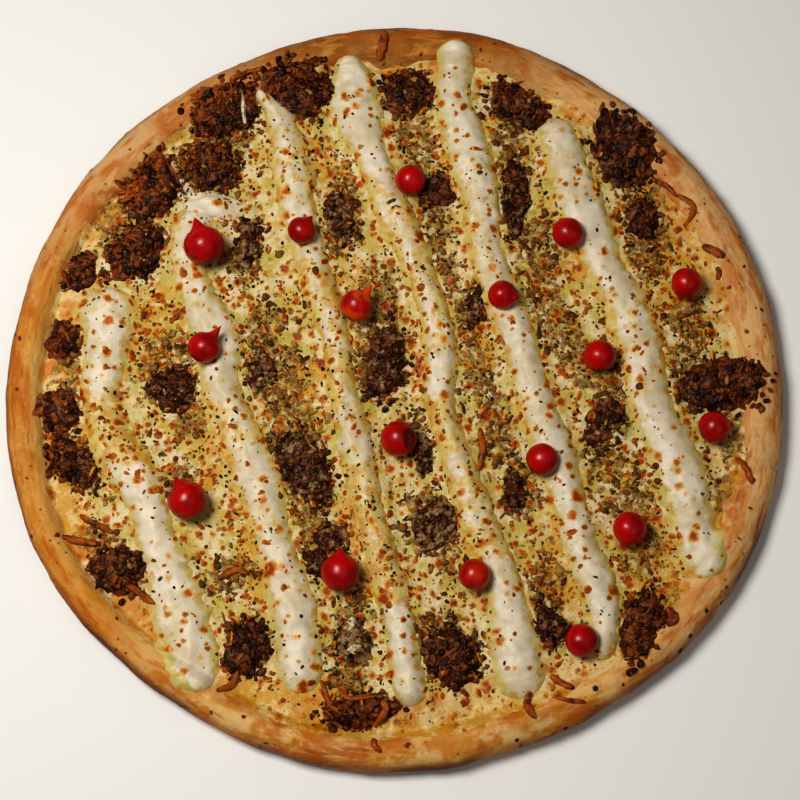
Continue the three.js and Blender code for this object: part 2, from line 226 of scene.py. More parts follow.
class Finish:
    """A material that is being built up."""

    def __init__(self, name, **sockets):
        self.material = bpy.data.materials.new(name)
        self.material.use_nodes = True
        self.tree = self.material.node_tree
        self.shader = self.tree.nodes["Principled BSDF"]
        for socket, value in sockets.items():
            self.shader.inputs[socket.replace("_", " ")].default_value = value
        self.place = self.node("ShaderNodeTexCoord", {}, "Object")

    def node(self, kind, inputs, output=0, **settings):
        node = self.tree.nodes.new(kind)
        for setting, value in settings.items():
            setattr(node, setting, value)
        for socket, value in inputs.items():
            if isinstance(value, bpy.types.NodeSocket):
                self.tree.links.new(value, node.inputs[socket])
            else:
                node.inputs[socket].default_value = value
        return node.outputs[output]

    def stored(self, name, output="Fac"):
        return self.node("ShaderNodeAttribute", {}, output, attribute_name=name)

    def noise(self, size, place=None, detail=3.0, rough=0.55, **settings):
        """Noise with lumps of about that size in millimetres."""
        inputs = {"Vector": place or self.place, "Scale": 1 / (size * MM)}
        inputs |= {"Detail": detail, "Roughness": rough}
        return self.node("ShaderNodeTexNoise", inputs, **settings)

    def math(self, operation, a, b=0.0, c=0.0):
        return self.node("ShaderNodeMath", {0: a, 1: b, 2: c}, operation=operation)

    def times(self, a, b):
        return self.math("MULTIPLY", a, b)

    def scaled(self, value, factor, plus):
        """A value times a factor, plus another value."""
        return self.math("MULTIPLY_ADD", value, factor, plus)

    def between(self, value, low, high, start=0.0, end=1.0):
        """Takes low to start and high to end, softly, and stays there outside."""
        inputs = {"Value": value, "From Min": low, "From Max": high, "To Min": start, "To Max": end}
        return self.node("ShaderNodeMapRange", inputs, interpolation_type="SMOOTHSTEP")

    def mix(self, share, below, above):
        inputs = {0: share, 6: below, 7: above}
        return self.node("ShaderNodeMix", inputs, 2, data_type="RGBA")

    def ramp(self, value, *stops):
        """A colour for each [place, colour] stop, with a smooth change between."""
        socket = self.node("ShaderNodeValToRGB", {"Fac": value}, "Color")
        elements = socket.node.color_ramp.elements
        for number, (position, shade) in enumerate(stops):
            element = elements[number] if number < 2 else elements.new(position)
            element.position = position
            element.color = shade
        return socket

    def spots(self, size, share, radius=0.3):
        """Uneven round spots in so large a share of cells of that size: 0 outside, up to 1 within.

        A radius is a share of a cell. A finer noise bends the cells, so no spot is quite round.
        """
        wander = self.noise(size * 0.35, None, 2.0, output=1)
        amount = size * MM * 0.4
        scaled = self.node("ShaderNodeVectorMath", {0: wander, "Scale": amount}, operation="SCALE")
        moved = self.node("ShaderNodeVectorMath", {0: self.place, 1: scaled}, operation="ADD")
        cells = {"Vector": moved, "Scale": 1 / (size * MM)}
        distance = self.node("ShaderNodeTexVoronoi", cells, "Distance", voronoi_dimensions="2D")
        chance = self.node("ShaderNodeSeparateColor", {0: distance.node.outputs["Color"]})
        own_radius = self.between(chance, 1 - share, 1.0, 0.0, radius)
        gap = self.math("SUBTRACT", own_radius, distance)
        return self.node("ShaderNodeMapRange", {"Value": gap, "From Max": radius * 0.8})

    def toast(self, below, spots, ring, middle):
        """Lays spots on a colour: each is a ring of one colour round a darker middle."""
        ringed = self.mix(self.between(spots, 0.0, 0.45, 0.0, 0.9), below, ring)
        return self.mix(self.between(spots, 0.2, 0.8), ringed, middle)

    def bump(self, height, depth):
        """Fine relief, so many millimetres deep."""
        inputs = {"Height": height, "Distance": depth * MM, "Strength": 1.0}
        self.tree.links.new(self.node("ShaderNodeBump", inputs), self.shader.inputs["Normal"])

    def paint(self, socket, value):
        self.tree.links.new(value, self.shader.inputs[socket])


# %% [markdown]
# ## Where the toppings lie
#
# These lists are the cook's plan of the pizza seen from above, in millimetres from its middle. A
# stripe of cream cheese is a route of [x, y, width]. A pepper is [x, y, diameter, beak, heading,
# lift]. A heap of beef is [x, y, length, width, turn, height]. The last two lists are looser areas
# [x, y, length, width, turn]: where crumbs of beef drifted, and where the cheese turned golden.

# %% Stripes of cream cheese
CREAM_ROUTES = [
    [(-135, 45, 27), (-131, 22, 22), (-133, -8, 19), (-127, -29, 19), (-113, -50, 19)]
    + [(-106, -72, 20), (-97, -97, 22), (-89, -122, 24), (-82, -140, 20)],
    [(-89, 83, 16), (-96, 64, 20), (-91, 40, 18), (-81, 20, 19), (-79, -2, 19), (-70, -24, 19)]
    + [(-60, -52, 20), (-52, -80, 19), (-44, -110, 20), (-40, -142, 19)],
    [(-65, 141, 5), (-54, 126, 14), (-49, 104, 18), (-46, 86, 19), (-37, 50, 15), (-27, 20, 14)]
    + [(-24, -6, 14), (-17, -34, 15), (-9, -70, 15), (1, -108, 14), (5, -132, 16), (8, -147, 14)],
    [(-22, 158, 13), (-21, 145, 19), (-19, 130, 22), (-10, 105, 17), (0, 80, 16), (11, 52, 16)]
    + [(20, 20, 15), (20, -8, 14), (26, -32, 15), (37, -66, 16), (48, -94, 18), (52, -122, 21)]
    + [(56, -144, 20)],
    [(29, 165, 11), (28, 153, 16), (27, 138, 18), (31, 120, 21), (39, 90, 18), (42, 60, 18)]
    + [(54, 26, 17), (63, -8, 17), (73, -40, 17), (81, -72, 17), (91, -105, 15), (89, -127, 11)],
    [(72, 128, 19), (79, 108, 20), (85, 82, 21), (96, 54, 20), (110, 22, 20), (115, -10, 21)]
    + [(126, -40, 21), (132, -68, 22), (138, -91, 20)],
]
# Where cheese melted over a stripe: [stripe, from y, to y, how much of it is covered].
VEILS = [(0, -40, -6, 0.9), (2, -104, -36, 0.85), (4, 20, 110, 0.2), (1, -30, -5, 0.35)]
VEILS += [(3, -84, -6, 0.6), (2, -20, 60, 0.55), (3, 10, 100, 0.5), (4, -60, 0, 0.1)]
VEILS += [(5, -10, 50, 0.3)]
VEILS += [(2, 80, 126, 0.4), (0, 30, 60, 0.3), (1, -90, -30, 0.2), (1, 40, 80, 0.3)]
print(len(CREAM_ROUTES), "stripes, with melted cheese over them in", len(VEILS), "places")

# %% Peppers and beef
PEPPERS = [
    (-87, 61, 18.5, 0.45, 110, 1.5), (7, 94, 14, 0, 200, 0.5), (-43, 69, 12.8, 0.35, 50, 2),
    (79, 68, 14.4, 0, 300, 0.5), (-86, 13, 14.5, 0.75, 48, 2), (-91.5, -57, 17.3, 0.35, 120, 0),
    (-17.5, 33, 15, 0.6, 50, 0.5), (48.5, 38, 13.2, 0.25, -20, 2), (1.5, -29, 16, 0, 170, 0),
    (65, -38.5, 14.3, 0, 20, 1), (132.5, 44, 14.2, 0, 250, 0), (92, 9.5, 14.4, 0, 80, 0),
    (142, -23.5, 14.2, 0, 10, 0), (103, -69.5, 14.8, 0, 140, 0), (-24, -89, 17, 0.3, 90, 0),
    (34.5, -90, 14, 0, 60, 0.5), (80.5, -118.5, 14.3, 0, 330, 0),
]
BEEF_HEAPS = [
    (-45, 141, 32, 24, 0, 7), (-79, 131, 30, 24, 25, 7), (-86, 103.5, 25, 23, 70, 6.5),
    (-112, 92, 33, 20, 65, 7), (-120, 61, 30, 21, 45, 6.5), (-143, 51, 18, 13, 60, 5),
    (6, 141, 23, 20, 10, 6.5), (58, 133, 29, 17, -35, 5.5), (106, 110, 33, 25, 100, 7),
    (114, 77, 22, 14, 95, 5), (55, 88, 38, 13, 90, 4.5), (19, 91, 16, 13, 60, 4),
    (-25, 78, 26, 12, 95, 5), (-68, 66, 22, 11, 80, 4), (-149, 19, 17, 13, 80, 5.5),
    (-150, -14, 19, 17, 90, 6), (-144, -38, 26, 17, -50, 6.5), (-121, -86, 22, 20, 0, 6.5),
    (-100, -4, 20, 18, 0, 5), (-61, 5, 18, 12, 80, 4.5), (-5, 8, 32, 18, 80, 5),
    (-41, -41, 34, 20, -60, 6), (-31, -78, 22, 15, 70, 5), (12, -33, 22, 8, 95, 4),
    (17, -66, 22, 18, 60, 5), (53, -50, 15, 10, 90, 4), (36, 34, 20, 8, 80, 4),
    (94, -20, 26, 13, 60, 4.5), (146, -2, 36, 23, 0, 7), (107, -111, 30, 15, 70, 5.5),
    (67, -111, 19, 12, 90, 4.5), (24, -124, 25, 24, 0, 6.5), (-19, -118, 22, 14, 80, 6),
    (-14, -148, 34, 13, 5, 5.5), (-65, -121, 25, 19, 60, 6.5),
]
BEEF_DRIFTS = [
    (-82, 117, 46, 28, 70), (-65, 138, 28, 18, 20), (-100, 100, 32, 22, 50), (-125, 75, 32, 28, 60),
    (-131, 56, 26, 16, 30), (-148, 4, 34, 14, 90), (-131, -72, 20, 14, 0), (-112, -87, 24, 14, 0),
    (-105, 6, 34, 26, 70), (-93, -20, 22, 14, 80), (-98, -50, 22, 16, 60), (-72, -89, 22, 14, 20),
    (-70, 56, 24, 14, 80), (-61, 20, 34, 16, 80), (-52, 2, 40, 22, 110), (-46, -26, 36, 24, 110),
    (-42, -56, 30, 18, 110), (-34, -70, 24, 18, 100), (-24, 84, 40, 18, 95), (-32, 64, 24, 14, 60),
    (-6, 38, 34, 18, 95), (-12, 12, 30, 20, 90), (7, -26, 22, 14, 80), (15, -62, 24, 20, 90),
    (25, -84, 16, 10, 100), (20, -112, 26, 14, 0), (-18, -108, 26, 16, 90),
    (-20, -134, 22, 14, 90), (10, 118, 38, 18, 100), (18, 74, 36, 14, 85), (22, 52, 22, 12, 90),
    (36, 36, 28, 14, 60), (36, 8, 36, 12, 100), (46, -24, 34, 16, 100), (56, -48, 26, 18, 100),
    (65, -98, 32, 16, 80), (54, 118, 28, 18, 90), (54, 100, 30, 16, 90), (66, 62, 34, 20, 100),
    (68, 42, 30, 16, 95), (74, 22, 30, 16, 100), (88, 6, 26, 18, 110), (98, -8, 34, 16, 90),
    (93, -36, 28, 16, 80), (104, -56, 30, 22, 100), (108, -76, 26, 18, 90), (116, -101, 24, 14, 0),
    (112, 92, 42, 26, 100), (115, 64, 28, 18, 90), (133, 32, 22, 16, 90), (132, 14, 34, 14, 60),
    (151, -28, 26, 14, 90), (143, -58, 30, 14, 80),
]
print(len(PEPPERS), "peppers,", len(BEEF_HEAPS), "heaps and", len(BEEF_DRIFTS), "drifts of crumbs")

# %% Golden cheese
GOLDEN = [
    (-112, 24, 46, 30, 60), (-128, -30, 28, 26, 80), (-82, -36, 34, 16, 90),
    (-64, -72, 40, 18, 100), (-60, -100, 26, 14, 90), (-58, -141, 46, 14, 0),
    (-28, -146, 30, 24, 0), (-21, 42, 26, 18, 90),
    (-38, -6, 34, 18, 90), (16, 8, 40, 18, 100), (40, 16, 24, 14, 90), (60, -10, 22, 14, 90),
    (-20, -66, 30, 14, 90), (-4, -92, 24, 22, 0), (34, -66, 34, 14, 100), (74, -86, 40, 22, 100),
    (119, -84, 40, 26, 80), (130, 52, 50, 26, 90), (112, 20, 40, 18, 100), (82, 62, 34, 14, 100),
    (-35, 104, 36, 16, 110), (26, 108, 40, 12, 90), (-134, 82, 36, 22, 60), (-96, 132, 36, 14, 35),
    (-104, 120, 16, 14, 0), (44, -150, 34, 14, 15), (0, -158, 50, 10, 0), (-40, -158, 34, 12, -10),
    (150, -56, 40, 12, 75), (-143, -60, 34, 14, -70), (124, 86, 44, 14, 125),
]
print(len(GOLDEN), "golden areas")


def level(row, x, y):
    """How deep places are inside an ellipse: 1 in its middle, 0 on its outline, less outside."""
    cx, cy, length, width, turn = row[:5]
    c, s = np.cos(np.radians(turn)), np.sin(np.radians(turn))
    own_x, own_y = (x - cx) * c + (y - cy) * s, (y - cy) * c - (x - cx) * s
    return 1 - (2 * own_x / length) ** 2 - (2 * own_y / width) ** 2


def in_areas(rows, x, y):
    """How far places are inside any of the areas, from 0 to 1, with ragged soft outlines."""
    flat = flat_places(x, y)
    bent_x = x + 4 * lumps(flat, 9, 31) + 2.5 * lumps(flat, 4, 32)
    bent_y = y + 4 * lumps(flat, 9, 33) + 2.5 * lumps(flat, 4, 34)
    return smoothstep(np.max([level(row, bent_x, bent_y) for row in rows], axis=0), -1.0, 0.8)


# %% [markdown]
# ## The crust
#
# A pizza crust is a flat disc of dough with a puffed rim. Its section is known, so the quickest
# way to a closed, even mesh is to spin that section once round the middle. The perfect disc is then
# stretched out of round, and the rim gets folds, bubbles and blisters along its surface normals.
# Each point remembers how far it is from the edge, which the baked colours follow.

# %% The crust's mesh
CRUST_STEPS = 1000
SECTION_CUTS = 4
AXIS_GAP = 0.01  # points nearer than this to the axis are merged


def lifted(height, angle, inward):
    """A height on the rim, a little more or less at each angle, but not where the rim ends."""
    foot = RIM_SECTION[-1][0]
    share = 1 - smoothstep(inward, foot / 2, foot - 2)
    return height + np.maximum(0, height - BASE_THICKNESS) * share * waves(RIM_HEIGHT_WAVES, angle)


def stretched(points):
    """Takes points of a round pizza to where hand stretching left them."""
    angle = np.arctan2(points[:, 1], points[:, 0])
    inward = PIZZA_RADIUS - np.hypot(points[:, 0], points[:, 1])
    foot = RIM_SECTION[-1][0]
    on_rim = edge_radius(angle) - inward * rim_stretch(angle)
    at_foot = edge_radius(angle) - foot * rim_stretch(angle)
    inner = (PIZZA_RADIUS - inward) * at_foot / (PIZZA_RADIUS - foot)
    radius = np.where(inward < foot, on_rim, inner)
    height = lifted(points[:, 2], angle, inward)
    return np.column_stack([radius * np.cos(angle), radius * np.sin(angle), height])


section = smooth_line(RIM_SECTION, SECTION_CUTS)
steps_along = np.hypot(*np.diff(section, axis=0).T)
from_edge = np.append(0, np.cumsum(steps_along))
from_edge -= from_edge[np.argmin(section[:, 0])]

bm = bmesh.new()
distance_layer = bm.verts.layers.float.new("from_edge")
profile = [
    (PIZZA_RADIUS - inward, height, along) for (inward, height), along in zip(section, from_edge)
]
profile = [(0, 0, -PIZZA_RADIUS), *profile, (0, BASE_THICKNESS, PIZZA_RADIUS)]
corners = []
for radius, height, along in profile:
    corners.append(bm.verts.new((radius, 0, height)))
    corners[-1][distance_layer] = along
spin_round(bm, corners, CRUST_STEPS)
axis_points = [vert for vert in bm.verts if vert.co.xy.length < AXIS_GAP]
bmesh.ops.remove_doubles(bm, verts=axis_points, dist=AXIS_GAP)
bmesh.ops.recalc_face_normals(bm, faces=bm.faces)
crust_mesh = mesh_of(bm, "baked_crust")
print("a section of", len(profile), "points, spun in", CRUST_STEPS, "steps")

# %% [markdown]
# The noise for folds reads a place that is made of the way round the rim and the distance from its
# edge. That distance is stretched, so the folds come out longer round the rim than across it. Only
# the open part of the rim is uneven, not the flat base or what lies under the cheese.

# %% The crust's relief
BLISTERS = 60
FOLD_STRETCH = 3.0  # how many times longer than wide a fold in the dough is
STREAK_STRETCH = 1.4  # how much longer still a streak of colour is
rng = np.random.default_rng(3)
crust_points = stretched(points_of(crust_mesh))
along = np.empty(len(crust_points), np.float32)
crust_mesh.attributes["from_edge"].data.foreach_get("value", along)
angles = np.arctan2(crust_points[:, 1], crust_points[:, 0])
round_way = np.column_stack([np.cos(angles), np.sin(angles)]) * PIZZA_RADIUS
round_and_in = np.column_stack([round_way, along * FOLD_STRETCH])
set_points(crust_mesh, crust_points)

baked = smoothstep(along, -9, -3) * (1 - smoothstep(along, 24, 30))
rise = 0.7 * lumps(crust_points, 21) + 0.35 * lumps(crust_points, 8, 1)
rise += 0.45 * lumps(round_and_in, 17, 2) + 0.14 * lumps(crust_points, 2.6, 3)

# Each blister is a low dome at [an angle in radians, a distance from the edge] of some radius, all
# in millimetres but the angle. Those in the second list are charred.
char = np.zeros(len(crust_points))
blister_angles = rng.uniform(-np.pi, np.pi, BLISTERS)
blisters = [(angle, rng.uniform(0, 17), rng.uniform(1.4, 4.2)) for angle in blister_angles]
CHARRED = [(-1.016, 14, 2.4), (-0.660, 8, 1.9), (-0.735, 5.5, 2.1), (-0.615, 3, 1.7)]
CHARRED += [(-1.13, 2.5, 2.2), (-0.95, 9, 1.4), (2.52, 3.0, 2.0), (3.02, 4.2, 1.5)]
CHARRED += [(-2.72, 5, 1.8), (-1.9, 6, 1.6), (-0.364, 12, 1.5), (-0.452, 12, 1.4)]
CHARRED += [(-0.777, 3, 2.4), (-1.257, 7, 1.8)]
for angle, inward, radius in blisters + CHARRED:
    turn = (angles - angle + np.pi) % (2 * np.pi) - np.pi
    away = np.hypot(turn * PIZZA_RADIUS, along - inward - 1)
    dome = np.clip(1 - away / radius, 0, 1)
    rise += 0.16 * radius * smoothstep(dome, 0, 0.7)
    if (angle, inward, radius) in CHARRED:
        char = np.maximum(char, dome)
set_points(crust_mesh, crust_points + normals_of(crust_mesh) * (rise * baked)[:, None])
mark(crust_mesh, "streak", round_and_in * (1, 1, STREAK_STRETCH) * MM)
mark(crust_mesh, "char", char)
mark(crust_mesh, "golden", in_areas(GOLDEN, crust_points[:, 0], crust_points[:, 1]))
print(len(blisters), "pale blisters and", len(CHARRED), "charred ones")

# %% [markdown]
# The baked colours run round the rim in soft bands: dark brown at the very edge, orange gold where
# it browned, tan over the top, an orange line before the cheese and pale dough beside it. A ramp
# over the distance from the edge sets the bands, and noise bends and blotches them, because no
# oven bakes evenly.

# %% The bands of the crust's finish
BANDS = (-14.0, 30.0)  # where the first and the last band are, from the edge
crust_finish = Finish("crust_bake", Roughness=0.6, Specular_IOR_Level=0.3)
f = crust_finish
streak_place = f.stored("streak", "Vector")
distance = f.stored("from_edge")
wander = f.scaled(f.noise(34, streak_place, 3.0, 0.55), 24.0, -12.0)
zone = f.math("ADD", distance, wander)
zone = f.node("ShaderNodeMapRange", {"Value": zone, "From Min": BANDS[0], "From Max": BANDS[1]})
dough = f.ramp(
    zone,
    (0.0, colour(116, 70, 32)),
    (0.27, colour(122, 64, 18)),
    (0.36, colour(168, 92, 20)),
    (0.45, colour(190, 116, 30)),
    (0.54, colour(205, 144, 56)),
    (0.63, colour(200, 128, 38)),
    (0.71, colour(213, 154, 64)),
    (0.84, colour(226, 186, 112)),
)
tan = f.between(f.noise(20, None, 4.0, 0.6), 0.44, 0.6)
dough = f.mix(f.times(tan, 0.3), dough, colour(206, 150, 76))
flour = f.between(f.noise(2.2, None, 4.0, 0.7), 0.5, 0.66)
dough = f.mix(f.times(flour, f.times(tan, 0.35)), dough, colour(228, 200, 162))
print("the bands run from", BANDS[0], "to", BANDS[1], "mm from the edge")

# %% [markdown]
# Dough also bakes by where it stands in the oven. This one browned most at the top, and flour still
# shows, pale, at the far left and in swirls at the front. The right is pale too: partly flour,
# partly painted light that lifts the side which the lamp leaves in shade. So the place itself, read
# in metres from the pizza's middle, says how much of each of those colours there is.

# %% The sides of the crust's finish
FRONT = -0.15
sides = f.node("ShaderNodeSeparateXYZ", {0: f.place}, "X")
far_up = sides.node.outputs["Y"]
at_top = f.scaled(f.math("ABSOLUTE", sides), -0.3, far_up)
uneven = f.between(f.noise(18, None, 3.0), 0.3, 0.6, 0.5, 0.95)
well_done = f.times(f.between(at_top, 0.1, 0.145), uneven)
dough = f.mix(well_done, dough, colour(150, 88, 24))
at_right = f.scaled(far_up, 0.15, sides)
# Paler at the right: partly flour, partly painted light that lifts the side the lamp leaves in
# shade.
flour_and_painted_light = f.between(f.noise(6, streak_place, 5.0, 0.7), 0.36, 0.6, 0.4, 0.95)
flour_and_painted_light = f.times(f.between(at_right, 0.055, 0.13), flour_and_painted_light)
dough = f.mix(flour_and_painted_light, dough, colour(224, 186, 136))
far_left = f.math("SUBTRACT", far_up, sides)
dough = f.mix(f.between(far_left, 0.2, 0.245, 0.0, 0.85), dough, colour(216, 180, 134))
at_front = f.times(f.between(far_up, -0.1, FRONT), f.between(distance, 4.0, 10.0, 0.2, 0.9))
swirls = f.between(f.noise(13, None, 5.0, 0.6), 0.42, 0.56)
dough = f.mix(f.times(at_front, swirls), dough, colour(228, 192, 130))
print("the front is palest beyond", FRONT, "m")

# %% [markdown]
# Last come the smallest marks: orange and brown streaks along the rim, golden patches where cheese
# and fat ran, freckles, darker brown at the outer edge that is partly baked and partly a painted
# shadow, and the charred tops of some blisters.

# %% The marks of the crust's finish
orange = f.between(f.noise(20, streak_place, 3.0, 0.55), 0.48, 0.64)
golden = f.times(f.stored("golden"), f.between(f.noise(6, None, 4.0), 0.36, 0.56))
orange = f.times(orange, f.between(distance, 13.0, 23.0, 0.8, 0.35))
orange = f.math("MAXIMUM", orange, f.times(golden, 0.8))
dough = f.mix(orange, dough, colour(190, 104, 10))
light = f.between(f.noise(13, streak_place, 3.0, 0.55), 0.52, 0.68)
dough = f.mix(f.times(light, 0.5), dough, colour(224, 170, 82))
lines = f.between(f.noise(17, streak_place, 4.0, 0.6), 0.58, 0.72, 0.0, 0.6)
dough = f.mix(lines, dough, colour(142, 68, 12))
brown = f.between(f.noise(8, None, 5.0, 0.7), 0.58, 0.74)
edge_share = f.between(distance, 2.0, 12.0, 1.0, 0.35)
dough = f.mix(f.times(brown, edge_share), dough, colour(122, 58, 16))
# Darker brown in large patches at the outer edge: partly baked brown, partly a painted pan shadow.
dark_parts = f.between(f.noise(45, None, 2.0), 0.42, 0.6)
rim_brown_and_painted_shadow = f.times(dark_parts, f.between(distance, 3.0, 8.0, 0.8, 0.0))
dough = f.mix(rim_brown_and_painted_shadow, dough, colour(104, 54, 18))
dough = f.toast(dough, f.spots(3.5, 0.14, 0.24), colour(184, 118, 50), colour(142, 78, 26))
dough = f.toast(dough, f.spots(7, 0.2, 0.22), colour(168, 92, 32), colour(100, 44, 14))
charred = f.between(f.stored("char"), 0.2, 0.55)
dough = f.mix(charred, dough, colour(36, 17, 10))
f.paint("Base Color", dough)
f.bump(f.math("ADD", f.noise(1.6, None, 5.0, 0.7), f.noise(8, streak_place, 3.0)), 0.35)

crust = serve(crust_mesh, "crust", crust_finish, "crust")

# %% [markdown]
# A stripe's route is cut into even steps, and a search tree over all these steps tells at any
# place how far it is from the nearest stripe, and whether cheese melted over the stripe there.

# %% Beside the stripes
CREAM_CELL = 0.75
ROUTE_CUTS = 40
STRIPE_REACH = 0.53  # how far a stripe reaches to each side, as a share of its width
VEIL_FADE = 8


def route_of(rows):
    """Even steps along a stripe's middle: places [x, y, width], headings and lengths so far."""
    fine = smooth_line(rows, ROUTE_CUTS)
    lengths = np.append(0, np.cumsum(np.linalg.norm(np.diff(fine, axis=0), axis=1)))
    even = np.linspace(0, lengths[-1], int(lengths[-1] / CREAM_CELL))
    places = read_at(even, lengths, fine)
    headings = np.gradient(places[:, :2], axis=0)
    headings /= np.linalg.norm(headings, axis=1)[:, None]
    return places, headings, even


def veil_at(number, y):
    """How much a stripe is covered by melted cheese at those places."""
    parts = [
        much
        * smoothstep(y, low - VEIL_FADE, low + VEIL_FADE)
        * (1 - smoothstep(y, high - VEIL_FADE, high + VEIL_FADE))
        for stripe, low, high, much in VEILS
        if stripe == number
    ]
    return np.clip(sum(parts, np.zeros(len(y))), 0, 1)


routes = [route_of(rows) for rows in CREAM_ROUTES]
middles = np.vstack([places for places, _, _ in routes])
owners = np.concatenate([[number] * len(places) for number, (places, _, _) in enumerate(routes)])
nearest_middle = KDTree(len(middles))
for index, (x, y, _) in enumerate(middles):
    nearest_middle.insert((x, y, 0), index)
nearest_middle.balance()
print("stripe lengths in mm:", [round(even[-1]) for _, _, even in routes])


def beside_stripes(x, y):
    """How far places are outside the nearest stripe, and how much cheese covers that stripe."""
    found = [nearest_middle.find((px, py, 0)) for px, py in zip(x, y)]
    index = np.array([row[1] for row in found])
    away = np.array([row[2] for row in found]) - middles[index, 2] * STRIPE_REACH
    veil = np.zeros(len(x))
    for number in range(len(CREAM_ROUTES)):
        own = owners[index] == number
        veil[own] = veil_at(number, y[own])
    return away, veil


# %% [markdown]
# ## The ground for the toppings
#
# Toppings lie on the cheese, or on the rim where that is higher. A ray that drops straight down
# onto finished pieces finds that height, and which piece it met, wherever a formula would be long.

# %% Height helpers
SKY = 80
INNER_SLOPE = RIM_SECTION[4:]


def ground(x, y):
    """The height of the cheese, or of the rim where that is higher."""
    angle = np.arctan2(y, x)
    inward = (edge_radius(angle) - np.hypot(x, y)) / rim_stretch(angle)
    distances, heights = zip(*INNER_SLOPE)
    rim = lifted(np.interp(inward, distances, heights), angle, inward)
    return np.maximum(CHEESE_TOP, rim)


def surface_of(piece):
    return BVHTree.FromObject(piece, bpy.context.evaluated_depsgraph_get())


def drop(trees, x, y):
    """Where rays dropped on those surfaces land: heights and normals."""
    rows = []
    for px, py in zip(x, y):
        start = Vector((px + TO_FRAME[0], py + TO_FRAME[1], SKY)) * MM
        best = (-1.0, Vector((0, 0, 1)))
        for tree in trees:
            spot, normal, _, _ = tree.ray_cast(start, Vector((0, 0, -1)))
            if spot and spot.z / MM > best[0]:
                best = (spot.z / MM, normal)
        rows.append(best)
    heights, normals = zip(*rows)
    return np.array(heights), np.array(normals)


print("the ground is", ground(np.array(0), np.array(0)), "mm high in the middle")

# %% [markdown]
# ## The melted mozzarella
#
# Melted cheese is a lumpy sheet that runs up to the rim and thins out on its slope. A grid of even
# cells shows the lumps best, but a grid is square: each of its points is moved so that nested
# squares become nested rings, which keeps the cells even and gives a clean round border. The border
# then drops to the dough and is closed below. The sheet also banks up against the cream stripes,
# and swells where beef crumbs lie under it.

# %% The mozzarella's mesh
CHEESE_CELLS = 296
CHEESE_SPREAD = 15.6  # how far in from the edge the cheese ends, on average
FRONT_SPREAD = 3.2  # how much nearer to the edge it ends at the front

bm = bmesh.new()
bmesh.ops.create_grid(bm, x_segments=CHEESE_CELLS, y_segments=CHEESE_CELLS, size=1)
for vert in bm.verts:
    u, v = vert.co.xy
    reach, other = (u, v) if abs(u) > abs(v) else (v, u)
    turn = np.pi / 4 * other / reach if reach else 0
    angle = turn if abs(u) > abs(v) else np.pi / 2 - turn
    vert.co.xy = (reach * np.cos(angle), reach * np.sin(angle))
close_below(bm, -1)
cheese_mesh = mesh_of(bm, "melted_mozzarella")
disc = points_of(cheese_mesh)
share = np.hypot(disc[:, 0], disc[:, 1])
angles = np.arctan2(disc[:, 1], disc[:, 0])
circle = np.column_stack([np.cos(angles), np.sin(angles), np.zeros(len(angles))]) * PIZZA_RADIUS
ragged = 2.6 * lumps(circle, 24, 4) + 1.8 * lumps(circle, 9, 5)
front = FRONT_SPREAD * np.clip(-np.sin(angles), 0, 1) ** 2
reach = edge_radius(angles) - (CHEESE_SPREAD - front + ragged) * rim_stretch(angles)
x, y = share * reach * np.cos(angles), share * reach * np.sin(angles)
print("the cheese has", len(disc), "points")

# %% The mozzarella's relief
BANK = 1.4  # how high the cheese banks up against a stripe
DRAPED_BAND = 40  # how far in from the edge the cheese may lie on the rim
BARE_SIDE = np.radians(208)  # where the widest strip of thin cheese is
BARE_WIDTH = 12
flat = flat_places(x, y)
away, _ = beside_stripes(x, y)
inward = (edge_radius(angles) - share * reach) / rim_stretch(angles)
meaty = in_areas(BEEF_DRIFTS + BEEF_HEAPS, x, y) * smoothstep(away, -2.5, 2)
relief = 0.7 * lumps(flat, 13, 6) + 0.6 * lumps(flat, 5.5, 7) + 0.45 * lumps(flat, 2.4, 8)
relief += meaty * (0.7 + 1.1 * lumps(flat, 4, 20) + 0.7 * lumps(flat, 2.2, 21))
bank = BANK * np.exp(-np.maximum(away, 0) / 2.5)
height = CHEESE_TOP + bank + relief * (1 - 0.6 * smoothstep(share, 0.9, 1))
outer = share * reach > PIZZA_RADIUS - DRAPED_BAND
rim_height, _ = drop([surface_of(crust)], x[outer], y[outer])
border = smoothstep(1 - share, 0.0, 0.035)[outer]
draped = rim_height + border * (0.7 + 0.5 * relief[outer]) - 0.25 * (1 - border)
height[outer] = np.maximum(height[outer] - 3 * (1 - border), draped)
height[disc[:, 2] < 0] = BASE_THICKNESS + 0.4
set_points(cheese_mesh, np.column_stack([x, y, height]))
bare = BARE_WIDTH * np.clip(np.cos(angles - BARE_SIDE), 0, 1) ** 1.5
mark(cheese_mesh, "rimward", 1 - smoothstep(inward - 3 * front - bare, 16, 29))
mark(cheese_mesh, "meaty", meaty)
mark(cheese_mesh, "golden", in_areas(GOLDEN, x, y))
print("its highest point is at", height.max().round(1), "mm")

# %% [markdown]
# Oven-melted mozzarella is cream to pale yellow, a little green from the herbs, and goes golden in
# the marked areas. Where beef drifted, brown clumps show through it. Near the rim the cheese is
# thin and pale, with orange blotches. On top of all lie toasted spots of three sizes, golden rings
# round red-brown middles.

